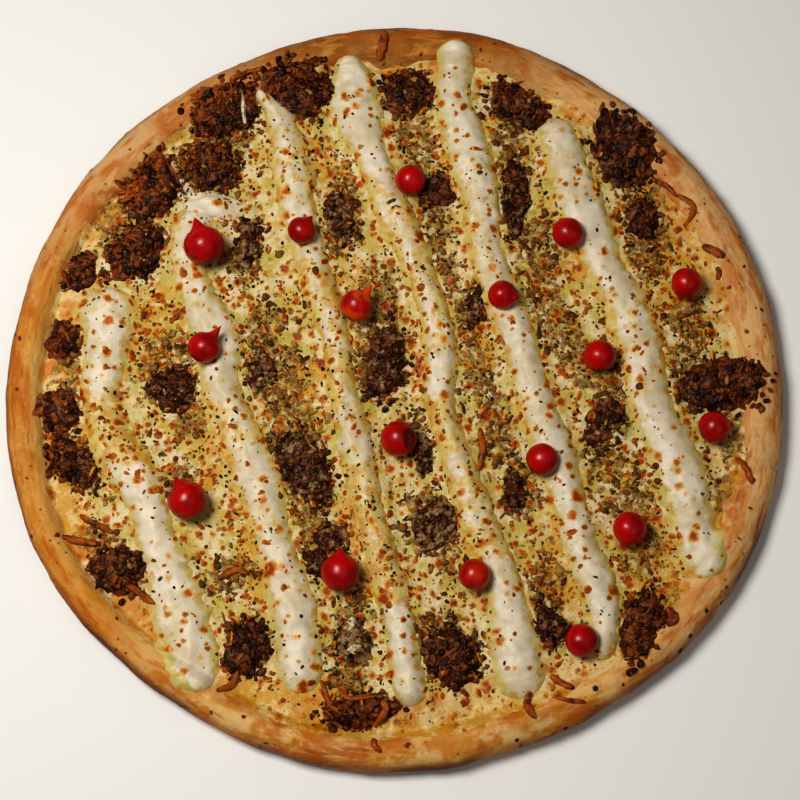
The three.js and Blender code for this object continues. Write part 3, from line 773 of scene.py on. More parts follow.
# %% The mozzarella's finish
cheese_finish = Finish("mozzarella_melt", Roughness=0.42, Specular_IOR_Level=0.35)
f = cheese_finish
mottled = f.between(f.noise(8, None, 4.0, 0.6), 0.4, 0.58)
cheese = f.mix(mottled, colour(226, 208, 164), colour(204, 182, 98))
green = f.between(f.noise(7, None, 4.0, 0.6), 0.54, 0.7)
cheese = f.mix(f.times(green, 0.55), cheese, colour(172, 158, 74))
rimward = f.stored("rimward")
cheese = f.mix(f.times(rimward, 0.85), cheese, colour(228, 200, 140))
blotches = f.times(f.between(f.noise(14, None, 4.0, 0.55), 0.46, 0.6), rimward)
cheese = f.mix(f.times(blotches, 0.9), cheese, colour(202, 132, 34))
golden = f.scaled(f.stored("golden"), 0.16, f.noise(5, None, 4.0, 0.6))
cheese = f.mix(f.between(golden, 0.53, 0.7, 0.0, 0.85), cheese, colour(206, 156, 42))
clumps = f.scaled(f.stored("meaty"), 0.2, f.noise(3.8, None, 4.0, 0.62))
clumps = f.between(clumps, 0.6, 0.74)
meat = f.ramp(
    f.noise(2.2, None, 4.0, 0.65),
    (0.3, colour(98, 66, 24)),
    (0.44, colour(138, 98, 40)),
    (0.56, colour(172, 134, 62)),
    (0.68, colour(206, 182, 116)),
)
cheese = f.mix(clumps, cheese, meat)
spot_share = f.between(rimward, 0.3, 1.0, 1.0, 0.6)
large = f.times(f.spots(7, 0.75, 0.4), spot_share)
cheese = f.toast(cheese, large, colour(214, 148, 34), colour(170, 78, 8))
largest = f.times(f.spots(15, 0.6, 0.25), spot_share)
cheese = f.toast(cheese, largest, colour(214, 146, 30), colour(152, 58, 10))
small = f.times(f.spots(4.4, 0.6, 0.4), spot_share)
cheese = f.toast(cheese, small, colour(206, 142, 34), colour(148, 76, 14))
f.paint("Base Color", cheese)
f.bump(f.scaled(clumps, 0.6, f.noise(1.7, None, 4.0, 0.6)), 0.6)

mozzarella = serve(cheese_mesh, "mozzarella", cheese_finish, "mozzarella")

# %% [markdown]
# ## The piped cream cheese
#
# Each stripe was squeezed from a piping bag, so it is a low arch swept along a wavy route, a little
# fatter and thinner as the hand moved, with round ends. A grid laid out flat has the right rows and
# columns: its length is wrapped along the route and its width over the arch.

# %% The stripes' meshes
CREAM_WOBBLE = 0.09
CREAM_SWELL = 11
CREAM_SUNK = 0.3


def stripe_mesh(number):
    places, headings, even = routes[number]
    rows = len(places)
    columns = int(np.pi * CREAM_HEIGHT * 1.4 / CREAM_CELL)
    bm = bmesh.new()
    bmesh.ops.create_grid(bm, x_segments=rows - 1, y_segments=columns, size=1)
    close_below(bm, -1)
    mesh = mesh_of(bm, f"piped_cream_{number + 1}")
    grid = points_of(mesh)
    row = np.round((grid[:, 0] + 1) / 2 * (rows - 1)).astype(int)
    arch = (1 - grid[:, 1]) / 2 * np.pi
    half = places[row, 2] / 2
    to_end = np.minimum(even[row], even[-1] - even[row])
    end = np.sqrt(np.clip(1 - (1 - np.clip(to_end / half, 0, 1)) ** 2, 0, 1))
    swell = 1 + CREAM_WOBBLE * np.sin(even[row] / CREAM_SWELL + number * 2)
    ridge = np.column_stack([even[row], 6 * np.cos(arch), np.full(len(row), 40.0 * number)])
    uneven = 1.16 + 0.17 * lumps(ridge, 9, 1) + 0.15 * lumps(ridge, 3.5, 2)
    side = half * swell * end * uneven * np.cos(arch)
    across = np.column_stack([-headings[row, 1], headings[row, 0]])
    xy = places[row, :2] + across * side[:, None]
    flat = flat_places(*xy.T)
    rise = CREAM_HEIGHT * np.sqrt(swell) * end**1.5 * np.sin(arch) ** 1.8
    rise *= 1 + 0.2 * lumps(flat, 10, 3) + 0.12 * lumps(flat, 4.5, 4)
    veil = veil_at(number, xy[:, 1])
    rise += veil * np.sin(arch) * (0.5 * lumps(flat, 3.2, 5) + 0.3 * lumps(flat, 1.8, 6))
    height = ground(xy[:, 0], xy[:, 1]) - CREAM_SUNK + rise
    height[grid[:, 2] < 0] = CHEESE_TOP - 2
    set_points(mesh, np.column_stack([xy, height]))
    mark(mesh, "veil", veil)
    mark(mesh, "foot", 1 - end * (1 - smoothstep(np.abs(np.cos(arch)), 0.3, 0.98)))
    return mesh


# %% [markdown]
# Baked cream cheese is ivory and smooth. It browns only in spots a few millimetres wide, each with
# an orange ring round a dark middle, takes an olive tint where it meets the herby cheese, and
# turns yellow where mozzarella melted over it. The stored veil and foot values say where.

# %% The stripes' finish
cream_finish = Finish("cream_bake", Roughness=0.42, Specular_IOR_Level=0.3)
f = cream_finish
mottled = f.between(f.noise(14, None, 4.0), 0.4, 0.62)
ivory = f.mix(mottled, colour(228, 216, 194), colour(213, 198, 166))
foot = f.stored("foot")
tint = f.scaled(foot, 0.42, f.noise(5.5, None, 5.0, 0.65))
mottled = f.between(f.noise(6, None, 4.0), 0.42, 0.6)
yellowish = f.mix(mottled, colour(212, 194, 124), colour(190, 176, 104))
ivory = f.mix(f.between(tint, 0.6, 0.8, 0.0, 0.9), ivory, yellowish)
veil = f.scaled(f.stored("veil"), 0.3, f.times(foot, 0.17))
covered = f.between(f.math("ADD", f.noise(6, None, 5.0, 0.65), veil), 0.58, 0.74)
mottled = f.between(f.noise(5, None, 4.0, 0.6), 0.45, 0.6)
melted = f.mix(mottled, colour(216, 194, 116), colour(206, 152, 54))
ivory = f.mix(f.times(covered, 0.85), ivory, melted)
patchy = f.between(f.noise(30, None, 2.0), 0.36, 0.54, 0.35, 1.0)
large = f.times(f.spots(8, 0.72, 0.37), patchy)
ivory = f.toast(ivory, large, colour(222, 168, 68), colour(178, 94, 18))
ivory = f.toast(ivory, f.spots(17, 0.55, 0.23), colour(220, 158, 46), colour(162, 70, 12))
small = f.times(f.spots(5, 0.45, 0.36), patchy)
ivory = f.toast(ivory, small, colour(214, 160, 64), colour(158, 90, 24))
f.paint("Base Color", ivory)
f.bump(f.noise(2.5, None, 3.0), 0.3)

stripes = []
for number in range(len(CREAM_ROUTES)):
    node = f"cream_stripe_{number + 1}"
    stripes.append(serve(stripe_mesh(number), "cream_cheese", cream_finish, node))

# %% [markdown]
# ## The beak peppers
#
# A beak pepper is a glossy red ball with a dimple at the stem and, on some, a pointed beak. Its
# section is a short list of radii from stem to tip. Spun round and smoothed, it makes one closed
# pepper, which is then tilted, turned and set down where the plain one lies.

# %% The peppers' meshes
BEAK_TILT = 20
STEM_UP = {8: -40}  # the pepper that shows its stem dimple, by its place in the list
ORANGE = {6: 0.9, 15: 0.25}  # peppers that aren't ripe all over, and how much
PEPPER_SECTION = [(0, -0.72), (0.16, -0.86), (0.5, -0.86), (0.88, -0.48), (1, 0.05), (0.82, 0.58)]
PEPPER_STEPS = 30


def pepper_mesh(index):
    x, y, diameter, beak, heading, lift = PEPPERS[index]
    tip = [(0.42, 0.92), (0, 1.0)]
    if beak:
        tip = [(0.36, 0.92), (0.13, 1 + beak * 0.6), (0, 1 + beak)]
    line = smooth_line(PEPPER_SECTION + tip, 4)
    line[0, 0] = line[-1, 0] = 0
    bm = bmesh.new()
    corners = [bm.verts.new((max(radius, 0), 0, along)) for radius, along in line]
    spin_round(bm, corners, PEPPER_STEPS)
    bmesh.ops.remove_doubles(bm, verts=bm.verts, dist=0.002)
    bmesh.ops.recalc_face_normals(bm, faces=bm.faces)
    mesh = mesh_of(bm, f"glossy_pepper_{index + 1}")
    points = points_of(mesh)
    along = points[:, 2].copy()
    points *= 1 + 0.035 * lumps(points, 0.8, index)[:, None]
    tilt = STEM_UP.get(index, BEAK_TILT)
    tilted = Matrix.Rotation(np.radians(90 - tilt), 3, "Y")
    lying = Matrix.Rotation(np.radians(heading), 3, "Z") @ tilted
    points = points @ np.array(lying).T * diameter / 2
    centre = ground(np.array(x), np.array(y)) + 0.3 + lift + diameter / 2
    set_points(mesh, points + (x, y, float(centre)))
    mark(mesh, "along", along)
    mark(mesh, "unripe", np.full(len(along), ORANGE.get(index, 0.0)))
    return mesh


# %% [markdown]
# The skin is smooth and waxy, so it gets a thin coat over a plain gloss. It is deep red in uneven
# clouds, orange where a pepper isn't ripe, and dark in the dimple of the stem.

# %% The peppers' finish
pepper_finish = Finish(
    "pepper_skin", Roughness=0.32, Specular_IOR_Level=0.4, Coat_Weight=0.12, Coat_Roughness=0.2
)
f = pepper_finish
skin = f.mix(f.between(f.noise(9, None, 3.0), 0.4, 0.66), colour(188, 6, 8), colour(150, 2, 5))
unripe = f.times(f.stored("unripe"), f.between(f.noise(7, None, 2.0), 0.4, 0.56))
skin = f.mix(unripe, skin, colour(214, 84, 22))
skin = f.mix(f.between(f.stored("along"), -0.74, -0.84, 0.0, 0.8), skin, colour(84, 4, 6))
f.paint("Base Color", skin)
f.bump(f.noise(3.5, None, 2.0), 0.12)
for index in range(len(PEPPERS)):
    serve(pepper_mesh(index), "pepper", pepper_finish, f"beak_pepper_{index + 1}")

# %% [markdown]
# ## Many small things from a few shapes
#
# Shreds, crumbs and flakes are made by the thousand. A few model shapes are built with mesh
# operators, and one array calculation then copies, sizes, turns and places all of them into a
# single mesh. That is far quicker than making each one, and Blender has one piece to show.

# %% Model shapes
LUMP_KINDS = 12
SHRED_KINDS = 12


def shape_of(bm):
    """A bmesh as arrays: its points, the corners of its faces in a row, and the faces' sizes."""
    bm.verts.index_update()
    points = np.array([vert.co[:] for vert in bm.verts])
    corners = np.array([vert.index for face in bm.faces for vert in face.verts])
    sizes = np.array([len(face.verts) for face in bm.faces])
    bm.free()
    return points, corners, sizes


def lump_shapes(sides, rings, unevenness):
    """Knobbly pebbles of radius 1 that share their faces: all their points, and those faces."""
    kinds = []
    for kind in range(LUMP_KINDS):
        bm = bmesh.new()
        bmesh.ops.create_uvsphere(bm, u_segments=sides, v_segments=rings, radius=1)
        points, corners, sizes = shape_of(bm)
        uneven = 0.6 * lumps(points, 0.9, kind + 1) + 0.8 * lumps(points, 0.45, kind + 40)
        kinds.append(points * (1 + unevenness * uneven[:, None]))
    return np.array(kinds), corners, sizes


def shred_shapes(rings, sides):
    """Uneven blunt strips of meat from x = -1 to 1, of radius 1: all points, and their faces."""
    bm = bmesh.new()
    ring = bmesh.ops.create_circle(bm, segments=sides, radius=1)["verts"]
    bmesh.ops.rotate(bm, verts=ring, matrix=Matrix.Rotation(np.pi / 2, 3, "Y"))
    bmesh.ops.translate(bm, verts=ring, vec=(-1, 0, 0))
    edges = list(bm.edges)
    bmesh.ops.edgeloop_fill(bm, edges=edges)
    for _ in range(rings - 1):
        grown = bmesh.ops.extrude_edge_only(bm, edges=edges)["geom"]
        moved = [item for item in grown if isinstance(item, bmesh.types.BMVert)]
        edges = [item for item in grown if isinstance(item, bmesh.types.BMEdge)]
        bmesh.ops.translate(bm, verts=moved, vec=(2 / (rings - 1), 0, 0))
        edges = [edge for edge in edges if all(vert in moved for vert in edge.verts)]
    bmesh.ops.edgeloop_fill(bm, edges=edges)
    bmesh.ops.recalc_face_normals(bm, faces=bm.faces)
    points, corners, sizes = shape_of(bm)
    points[:, 0] = np.sin(np.pi / 2 * points[:, 0])
    blunt = 0.12 + 0.88 * np.sqrt(np.clip(1 - np.abs(points[:, 0]) ** 3, 0, 1))
    kinds = []
    for kind in range(SHRED_KINDS):
        uneven = 1 + 0.42 * lumps(points * (3, 1, 1), 0.9, kind + 20)
        own = points.copy()
        own[:, 1:] *= (uneven * blunt)[:, None]
        kinds.append(own)
    return np.array(kinds), corners, sizes


fine_lumps = lump_shapes(8, 5, 0.65)
uneven_lumps = lump_shapes(8, 5, 0.45)
rough_lumps = lump_shapes(5, 3, 0.35)
shreds = shred_shapes(7, 6)
print("a crumb has", len(fine_lumps[2]), "faces, a shred has", len(shreds[2]))

# %% Copies in one mesh


def laid(shapes, sizes, spins, normals, places):
    """Copies of shapes, sized, spun about their own up, tipped to a surface and set down."""
    ahead = np.column_stack([np.cos(spins), np.sin(spins), np.zeros(len(spins))])
    ahead -= normals * np.sum(ahead * normals, axis=1)[:, None]
    ahead /= np.linalg.norm(ahead, axis=1)[:, None]
    beside = np.cross(normals, ahead)
    turned = np.stack([ahead, beside, normals], axis=1)
    return np.einsum("nvi,nij->nvj", shapes * sizes[:, None, :], turned) + places[:, None, :]


def joined(name, batches):
    """One mesh from batches: each has the points of its copies, their faces, and their marks."""
    points, corners, sizes, marks, start = [], [], [], {}, 0
    for copies, own_corners, own_sizes, own_marks in batches:
        number, each = copies.shape[:2]
        offsets = start + each * np.arange(number)
        corners.append((own_corners[None, :] + offsets[:, None]).ravel())
        sizes.append(np.tile(own_sizes, number))
        points.append(copies.reshape(-1, 3))
        for key, values in own_marks.items():
            values = np.asarray(values, float)
            if values.shape == (number,):
                values = np.repeat(values, each)
            marks.setdefault(key, []).append(values.reshape(number * each, -1).squeeze())
        start += number * each
    corners, sizes = np.concatenate(corners), np.concatenate(sizes)
    mesh = bpy.data.meshes.new(name)
    mesh.vertices.add(start)
    mesh.vertices.foreach_set("co", np.concatenate(points).ravel())
    mesh.loops.add(len(corners))
    mesh.loops.foreach_set("vertex_index", corners)
    mesh.polygons.add(len(sizes))
    mesh.polygons.foreach_set("loop_start", np.append(0, np.cumsum(sizes)[:-1]))
    mesh.update(calc_edges=True)
    mesh.validate()
    for key, values in marks.items():
        mark(mesh, key, np.concatenate(values))
    return mesh


# %% [markdown]
# ## The shredded beef
#
# Pulled beef falls into thick chunks and thin strands of fibre that lie over each other, with
# crumbs between. So each heap is a lumpy core, which fills it, under a layer of chunks, a layer of
# strands and a scatter of crumbs. Neighbouring shreds point much the same way, as they came off
# the same piece of meat, so their headings follow a slow noise, and at the heap's edge they lie
# along it. The outward side of the heaps near the rim is crisp, because the oven reached it first.

# %% Kinds of shreds
# How crisp a heap is on its outward side and how much cheese coats it, by its place in the list.
CRISP = {31: 0.05, 32: 0.2, 0: 0.4, 1: 0.75, 2: 0.5, 3: 0.8, 4: 0.6, 5: 0.35, 33: 0.7, 29: 0.5}
CRISP |= {14: 0.5, 15: 0.5, 16: 0.6, 17: 0.4, 28: 0.3, 8: 0.2, 7: 0.2}
COATED = {10: 0.3, 11: 0.3, 12: 0.5, 13: 0.5, 18: 0.2, 19: 0.5, 20: 0.35, 21: 0.4, 22: 0.35}
COATED |= {23: 0.5, 24: 0.6, 25: 0.4, 26: 0.4, 27: 0.3, 30: 0.3, 32: 0.7}
# Each kind of shred: square millimetres of heap for each, the least and greatest half length, half
# width and half thickness, the lowest and highest layer, the curl, and how much its ends lift.
CHUNKS = (9.0, (2.4, 6.4), (1.4, 3.2), (1.0, 1.7), (-1.4, -0.2), 1.4, 0.0)
STRANDS = (15.0, (2.4, 6.0), (0.45, 0.95), (0.4, 0.7), (-0.1, 0.7), 1.8, 0.3)
CRUMB_AREA = 9
SHRED_SPILL = 0.25  # how far shreds spill over a heap's outline, in its levels
CRUMB_SPILL = 1.3
HEAP_REACH = 1.5  # how far out places are tried, in half lengths and half widths of the heap
FIBRE_SQUEEZE = 0.15  # how much the grain is squeezed along a shred, so that fibres come out long
FIBRE_APART = 50  # how far apart the grains of shreds may lie, so that no two look alike
HEAP_SEED = 100
BARELY = 0.05  # how crisp and how coated the other heaps are
DOME_SHARE = 0.82  # how much of a heap's height is its dome, below the shreds
CORE_SPREAD = 1.15  # how much wider than the heap its core is, so that it ends in the cheese

print("a heap has a chunk on each", CHUNKS[0], "square mm and a strand on each", STRANDS[0])

# %% The form of a heap


def ragged_level(row, x, y):
    """How deep places are inside a heap with a ragged, angular outline."""
    flat = flat_places(x, y)
    shift = [2.6 * lumps(flat, 9, 50 + axis) + 2.0 * lumps(flat, 4.5, 60 + axis) for axis in (0, 1)]
    return level(row, x + shift[0].reshape(np.shape(x)), y + shift[1].reshape(np.shape(y)))


def heap_height(row, x, y):
    """The height of a heap's lumpy dome over a place."""
    inside = ragged_level(row, x, y)
    lumpy = 1.5 * lumps(flat_places(x, y), 6.5, 70).reshape(np.shape(x))
    lumpy = lumpy * smoothstep(inside, 0, 0.4)
    return ground(x, y) + DOME_SHARE * row[5] * np.sqrt(np.clip(inside, 0, 1)) + lumpy


def heap_places(row, area, spill, rng):
    """Places on and round a heap, one for each such area, how far out, and the edge's heading."""
    cx, cy, length, width, turn, _ = row
    number = int(HEAP_REACH**2 * length * width / area)
    out = HEAP_REACH * np.sqrt(rng.random(number))
    way = rng.uniform(0, 2 * np.pi, number)
    own = np.column_stack([out * np.cos(way) * length / 2, out * np.sin(way) * width / 2])
    c, s = np.cos(np.radians(turn)), np.sin(np.radians(turn))
    edge_heading = np.arctan2(width * np.cos(way), -length * np.sin(way)) + np.radians(turn)
    places = own @ np.array([[c, s], [-s, c]]) + (cx, cy)
    inside = ragged_level(row, places[:, 0], places[:, 1])
    keep = inside > -spill * rng.random(number)
    return places[keep], 1 - inside[keep], edge_heading[keep]


# %% [markdown]
# A core, chunks, strands and crumbs are each made as arrays and handed on as a batch, with the
# numbers that the beef's finish reads: the grain, which tells where along a shred a point is, and
# the tint, which differs from shred to shred.

# %% What a heap is made of


def heap_core(row, seed):
    """A heap's lumpy body: a fine ball, flattened, whose upper half is draped over the dome."""
    bm = bmesh.new()
    bmesh.ops.create_icosphere(bm, subdivisions=4, radius=1)
    ball, corners, sizes = shape_of(bm)
    cx, cy, length, width, turn, _ = row
    own = ball * (length / 2 * CORE_SPREAD, width / 2 * CORE_SPREAD, 0)
    grain = own * (0.25, 1, 1)
    points = own @ np.array(Matrix.Rotation(-np.radians(turn), 3, "Z")) + (cx, cy, 0)
    inside = ragged_level(row, points[:, 0], points[:, 1])
    relief = 0.8 * lumps(grain, 1.6, seed) + 0.5 * lumps(points, 2.4, seed)
    top = heap_height(row, points[:, 0], points[:, 1]) + relief * smoothstep(inside, -0.1, 0.3)
    top -= 2 * smoothstep(-inside, 0, 0.3)
    points[:, 2] = np.where(ball[:, 2] > 0, top, CHEESE_TOP - 2)
    points[:, 2] = np.maximum(points[:, 2], BASE_THICKNESS + 1)
    grain[:, 2] = points[:, 2]
    return points[None], corners, sizes, {"grain": grain[None] * MM, "tint": np.array([0.35])}


def heap_shreds(row, kind, rng):
    """Shreds of one kind draped over a heap, with their own grain to follow their length."""
    area, lengths, widths, thicknesses, layers, curl, lift = kind
    places, out, edge_heading = heap_places(row, area, SHRED_SPILL, rng)
    number = len(places)
    slow_heading = 2.6 * np.pi * lumps(flat_places(*places.T), 17, 3) + rng.normal(0, 0.5, number)
    at_edge = out > rng.uniform(0.6, 1.0, number)
    spins = np.where(at_edge, edge_heading + rng.normal(0, 0.4, number), slow_heading)
    half_length = rng.uniform(*lengths, number) * min(1, row[3] / 14)
    half_width = rng.uniform(*widths, number) * min(1, row[3] / 12)
    half_thick = rng.uniform(*thicknesses, number)
    shapes = shreds[0][rng.integers(0, SHRED_KINDS, number)]
    own = shapes * np.column_stack([half_length, half_width, half_thick])[:, None, :]
    end = shapes[:, :, 0]
    own[:, :, 1] += rng.uniform(-curl, curl, number)[:, None] * end**2
    own[:, :, 1] += rng.uniform(-curl, curl, number)[:, None] * end**3 / 2
    c, s = np.cos(spins)[:, None], np.sin(spins)[:, None]
    x = places[:, 0, None] + own[:, :, 0] * c - own[:, :, 1] * s
    y = places[:, 1, None] + own[:, :, 0] * s + own[:, :, 1] * c
    lifts = rng.uniform(-0.6, lift, number)[:, None] * end**2
    z = heap_height(row, x, y) + own[:, :, 2] + rng.uniform(*layers, number)[:, None] + lifts
    own[:, :, 0] = own[:, :, 0] * FIBRE_SQUEEZE + FIBRE_APART * rng.random(number)[:, None]
    marks = {"grain": own * MM, "tint": rng.random(number)}
    return np.stack([x, y, z], axis=2), shreds[1], shreds[2], marks


def heap_crumbs(row, rng):
    """Crumbs on and round a heap."""
    places, _, _ = heap_places(row, CRUMB_AREA, CRUMB_SPILL, rng)
    number = len(places)
    height = heap_height(row, places[:, 0], places[:, 1])
    radius = rng.uniform(0.6, 1.6, number)
    sizes = radius[:, None] * (1.3, 0.9, 0.75) * rng.uniform(0.7, 1.3, (number, 3))
    shapes = fine_lumps[0][rng.integers(0, LUMP_KINDS, number)]
    up = np.tile((0.0, 0.0, 1.0), (number, 1))
    where = np.column_stack([places, height + 0.2 + rng.uniform(0, 0.9, number)])
    copies = laid(shapes, sizes, rng.uniform(0, 2 * np.pi, number), up, where)
    return copies, fine_lumps[1], fine_lumps[2], {"grain": copies * MM, "tint": rng.random(number)}


# %% A whole heap


def heap_mesh(index):
    row = BEEF_HEAPS[index]
    rng = np.random.default_rng(HEAP_SEED + index)
    batches = [heap_core(row, index)]
    batches.append(heap_shreds(row, CHUNKS, rng))
    batches.append(heap_shreds(row, STRANDS, rng))
    batches.append(heap_crumbs(row, rng))
    mesh = joined(f"pulled_beef_{index + 1}", batches)
    from_middle = np.hypot(*row[:2])
    outward = points_of(mesh)[:, :2] @ np.array(row[:2]) / from_middle - from_middle
    mark(mesh, "crisp", CRISP.get(index, BARELY) * smoothstep(outward, -9, 5))
    mark(mesh, "coated", np.full(len(outward), COATED.get(index, BARELY)))
    return mesh


# %% [markdown]
# Oven-roasted pulled beef is very dark brown, with redder strands, crisp orange edges and a wet
# glint of fat. The noise reads the stored grain, which is squeezed along each shred, so the fibres
# run lengthwise. Some heaps were dusted with cheese, which melted into a pale coat.

# %% The beef's finish
beef_finish = Finish("beef_roast", Specular_IOR_Level=0.3)
f = beef_finish
grain = f.stored("grain", "Vector")
fibre = f.noise(0.9, grain, 4.0, 0.65)
tint = f.stored("tint")
shade = f.scaled(tint, 0.4, f.times(fibre, 0.6))
shade = f.scaled(f.noise(6, None, 3.0), 0.5, shade)
meat = f.ramp(
    shade,
    (0.44, colour(22, 9, 5)),
    (0.62, colour(54, 23, 10)),
    (0.77, colour(86, 40, 17)),
    (0.94, colour(138, 80, 44)),
)
crisp = f.times(f.stored("crisp"), f.between(f.noise(5, None, 3.0), 0.36, 0.52))
crisp = f.times(crisp, f.between(tint, 0.1, 0.7))
meat = f.mix(crisp, meat, f.ramp(fibre, (0.3, colour(112, 34, 8)), (0.7, colour(206, 120, 34))))
coat = f.scaled(f.stored("coated"), 0.28, f.noise(4, None, 4.0, 0.6))
meat = f.mix(f.between(coat, 0.62, 0.78, 0.0, 0.8), meat, colour(178, 150, 104))
f.paint("Base Color", meat)
f.paint("Roughness", f.between(f.noise(2.2, None, 3.0), 0.35, 0.62, 0.2, 0.65))
f.bump(fibre, 0.45)

heaps = []
for index in range(len(BEEF_HEAPS)):
    heaps.append(serve(heap_mesh(index), "beef", beef_finish, f"beef_heap_{index + 1}"))

# %% [markdown]
# ## Single crisp shreds
#
# A few shreds fell beside the heaps and baked crisp on the cheese and the rim. Each is one fine
# strip that is bent along its own short route and lies on what is below it. A row of the list has
# the shred's width and its route, [x, y], all in millimetres.

# %% Crisp shreds
CRISP_SHREDS = [
    (4.2, [(-8, 156), (-6, 162), (-5, 170)]), (3.4, [(-147, -72), (-139, -74), (-130, -75)]),
    (3.0, [(-140, -62), (-133, -66), (-125, -70)]), (2.6, [(-32, -135), (-29, -144), (-23, -150)]),
    (2.6, [(-25, -137), (-20, -143), (-10, -142), (-5, -142)]),
    (3.6, [(-6, -144), (-4, -148), (-9, -155)]),
    (2.6, [(119, 97), (125, 93), (130, 87)]), (2.8, [(130, 88), (136, 83), (137, 79), (135, 75)]),
    (4.2, [(141, 64), (146, 60), (150, 57)]), (3.4, [(58, -140), (57, -146), (60, -152)]),
    (3.2, [(67, -133), (72, -136), (77, -139)]), (2.2, [(68, -142), (74, -144), (82, -145)]),
    (2.6, [(-78, 144), (-71, 148), (-62, 151)]), (2.8, [(-130, 95), (-125, 93), (-119, 94)]),
    (2.6, [(-130, 90), (-125, 91), (-118, 89)]), (2.8, [(-129, 86), (-124, 87), (-118, 91)]),
    (2.2, [(-126, 97), (-124, 92), (-126, 85)]),
    (3.2, [(-119, -92), (-112, -97), (-105, -102)]), (3.0, [(-78, -91), (-71, -87), (-64, -88)]),
    (3.0, [(-68, -131), (-71, -137), (-77, -140)]), (3.0, [(38, -22), (39, -32), (37, -42)]),
    (4.4, [(119, -103), (121, -108), (118, -112)]), (2.6, [(-9, -160), (-9, -163), (-6, -166)]),
    (2.8, [(147, 53), (148, 50), (147, 47)]), (3.0, [(152, -36), (156, -42), (158, -49)]),
]
fine_shreds = shred_shapes(15, 8)
cooked = [surface_of(piece) for piece in [crust, mozzarella, *stripes, *heaps]]
batches = []
for number, (width, route) in enumerate(CRISP_SHREDS):
    shape = fine_shreds[0][number % SHRED_KINDS]
    line = smooth_line(route, 12)
    step = (shape[:, 0] + 1) / 2 * (len(line) - 1)
    middle = read_at(step, np.arange(len(line)), line)
    heading = read_at(step, np.arange(len(line)), np.gradient(line, axis=0))
    heading /= np.linalg.norm(heading, axis=1)[:, None]
    beside = np.column_stack([-heading[:, 1], heading[:, 0]])
    place = middle + beside * (shape[:, 1] * width / 2)[:, None]
    below, _ = drop(cooked, middle[:, 0], middle[:, 1])
    points = np.column_stack([place, below + (0.25 + 0.42 * shape[:, 2]) * width])
    grain = np.column_stack([step * 0.1 + 9 * number, shape[:, 1] * width / 2, shape[:, 2]])
    marks = {"grain": grain[None] * MM, "tint": [0.65], "crisp": [1.0], "coated": [0.0]}
    batches.append((points[None], fine_shreds[1], fine_shreds[2], marks))
serve(joined("crisp_shreds", batches), "beef", beef_finish)

# %% [markdown]
# ## Smears of cream
#
# Where the piping bag was lifted or turned, it left small smears and threads. Each starts as a
# ball that is drawn out to its length and width and draped: rays find the surface below its
# points, the upper half lies on that surface with a thin soft edge, and the lower half sinks in. A
# row of the list is [x, y, length, width, turn, height].

# %% Cream smears
SMEARS = [
    (-84, 84, 30, 13, -8, 3.0), (-97, 93, 13, 4, 120, 1.6), (-102, 102, 9, 3, 110, 1.4),
    (-71, 130, 16, 2.2, 95, 1.2), (-61, 137, 10, 2, 120, 1.2), (-20, -112, 10, 5, 60, 1.6),
    (-17, -122, 7, 4, 0, 1.4), (-24, -126, 5, 3, 40, 1.2),
]
smooth_lumps = lump_shapes(24, 16, 0.3)
batches = []
for number, (cx, cy, length, width, turn, height) in enumerate(SMEARS):
    shape = smooth_lumps[0][number % LUMP_KINDS]
    c, s = np.cos(np.radians(turn)), np.sin(np.radians(turn))
    x = cx + shape[:, 0] * length / 2 * c - shape[:, 1] * width / 2 * s
    y = cy + shape[:, 0] * length / 2 * s + shape[:, 1] * width / 2 * c
    below, _ = drop(cooked, x, y)
    upper = np.clip(shape[:, 2], 0, 1)
    points = np.column_stack([x, y, below + height * upper**2 - 0.5 * (shape[:, 2] < 0)])
    marks = {"veil": [0.0], "foot": 0.6 * (1 - smoothstep(upper, 0, 0.6))[None, :, None]}
    batches.append((points[None], smooth_lumps[1], smooth_lumps[2], marks))
smears = serve(joined("cream_smears", batches), "cream_cheese", cream_finish)

# %% [markdown]
# ## Crumbs, browned bits and herbs
#
# What fills the lanes between the stripes is small: crumbs and short shreds of meat, bits of cheese
# that browned, and flakes of dried oregano. They are thrown at random but not evenly: the crumbs
# follow the drifts, the browned bits the golden areas, and the herbs lie almost everywhere. Few
# land on the cream, hardly any on the rim and none on a pepper.

# %% How crowded each place is
REACH = 157  # how far from the middle things are thrown
HERB_REACH = 156
BROWNED_REACH = 154
landings = [*cooked, surface_of(smears)]
print("things can land on", len(landings), "pieces")


def open_share(x, y):
    """How open a place is to what is thrown: 1 in a lane, little on the cream, none on the rim."""
    away, veil = beside_stripes(x, y)
    angle = np.arctan2(y, x)
    inward = edge_radius(angle) - np.hypot(x, y)
    return np.maximum(smoothstep(away, -4.0, 1.2), 0.7 * veil) * smoothstep(inward, 20, 29)


def off_heaps(x, y):
    """Much on the open pizza, little on the heaps, which have crumbs of their own."""
    return 1 - 0.9 * smoothstep(np.max([level(row, x, y) for row in BEEF_HEAPS], axis=0), -0.1, 0.2)


def crumb_crowd(x, y):
    clusters = 0.25 + 0.75 * smoothstep(lumps(flat_places(x, y), 6.5, 12), -0.3, 0.3)
    drifted = in_areas(BEEF_DRIFTS + BEEF_HEAPS, x, y) ** 1.5
    return open_share(x, y) ** 2 * off_heaps(x, y) * clusters * (0.1 + 0.9 * drifted)


def browned_crowd(x, y):
    share = (0.2 + 0.8 * open_share(x, y)) * (0.35 + 0.65 * in_areas(GOLDEN, x, y))
    return share * off_heaps(x, y) * (np.hypot(x, y) < BROWNED_REACH)


def herb_crowd(x, y):
    drifts = smoothstep(lumps(flat_places(x, y), 9, 9), -0.3, 0.4)
    return (0.2 + 0.8 * open_share(x, y)) * (0.2 + 0.8 * drifts) * (np.hypot(x, y) < HERB_REACH)


# %% Scattering
THROWS = 12  # how many places are tried for each thing that lands


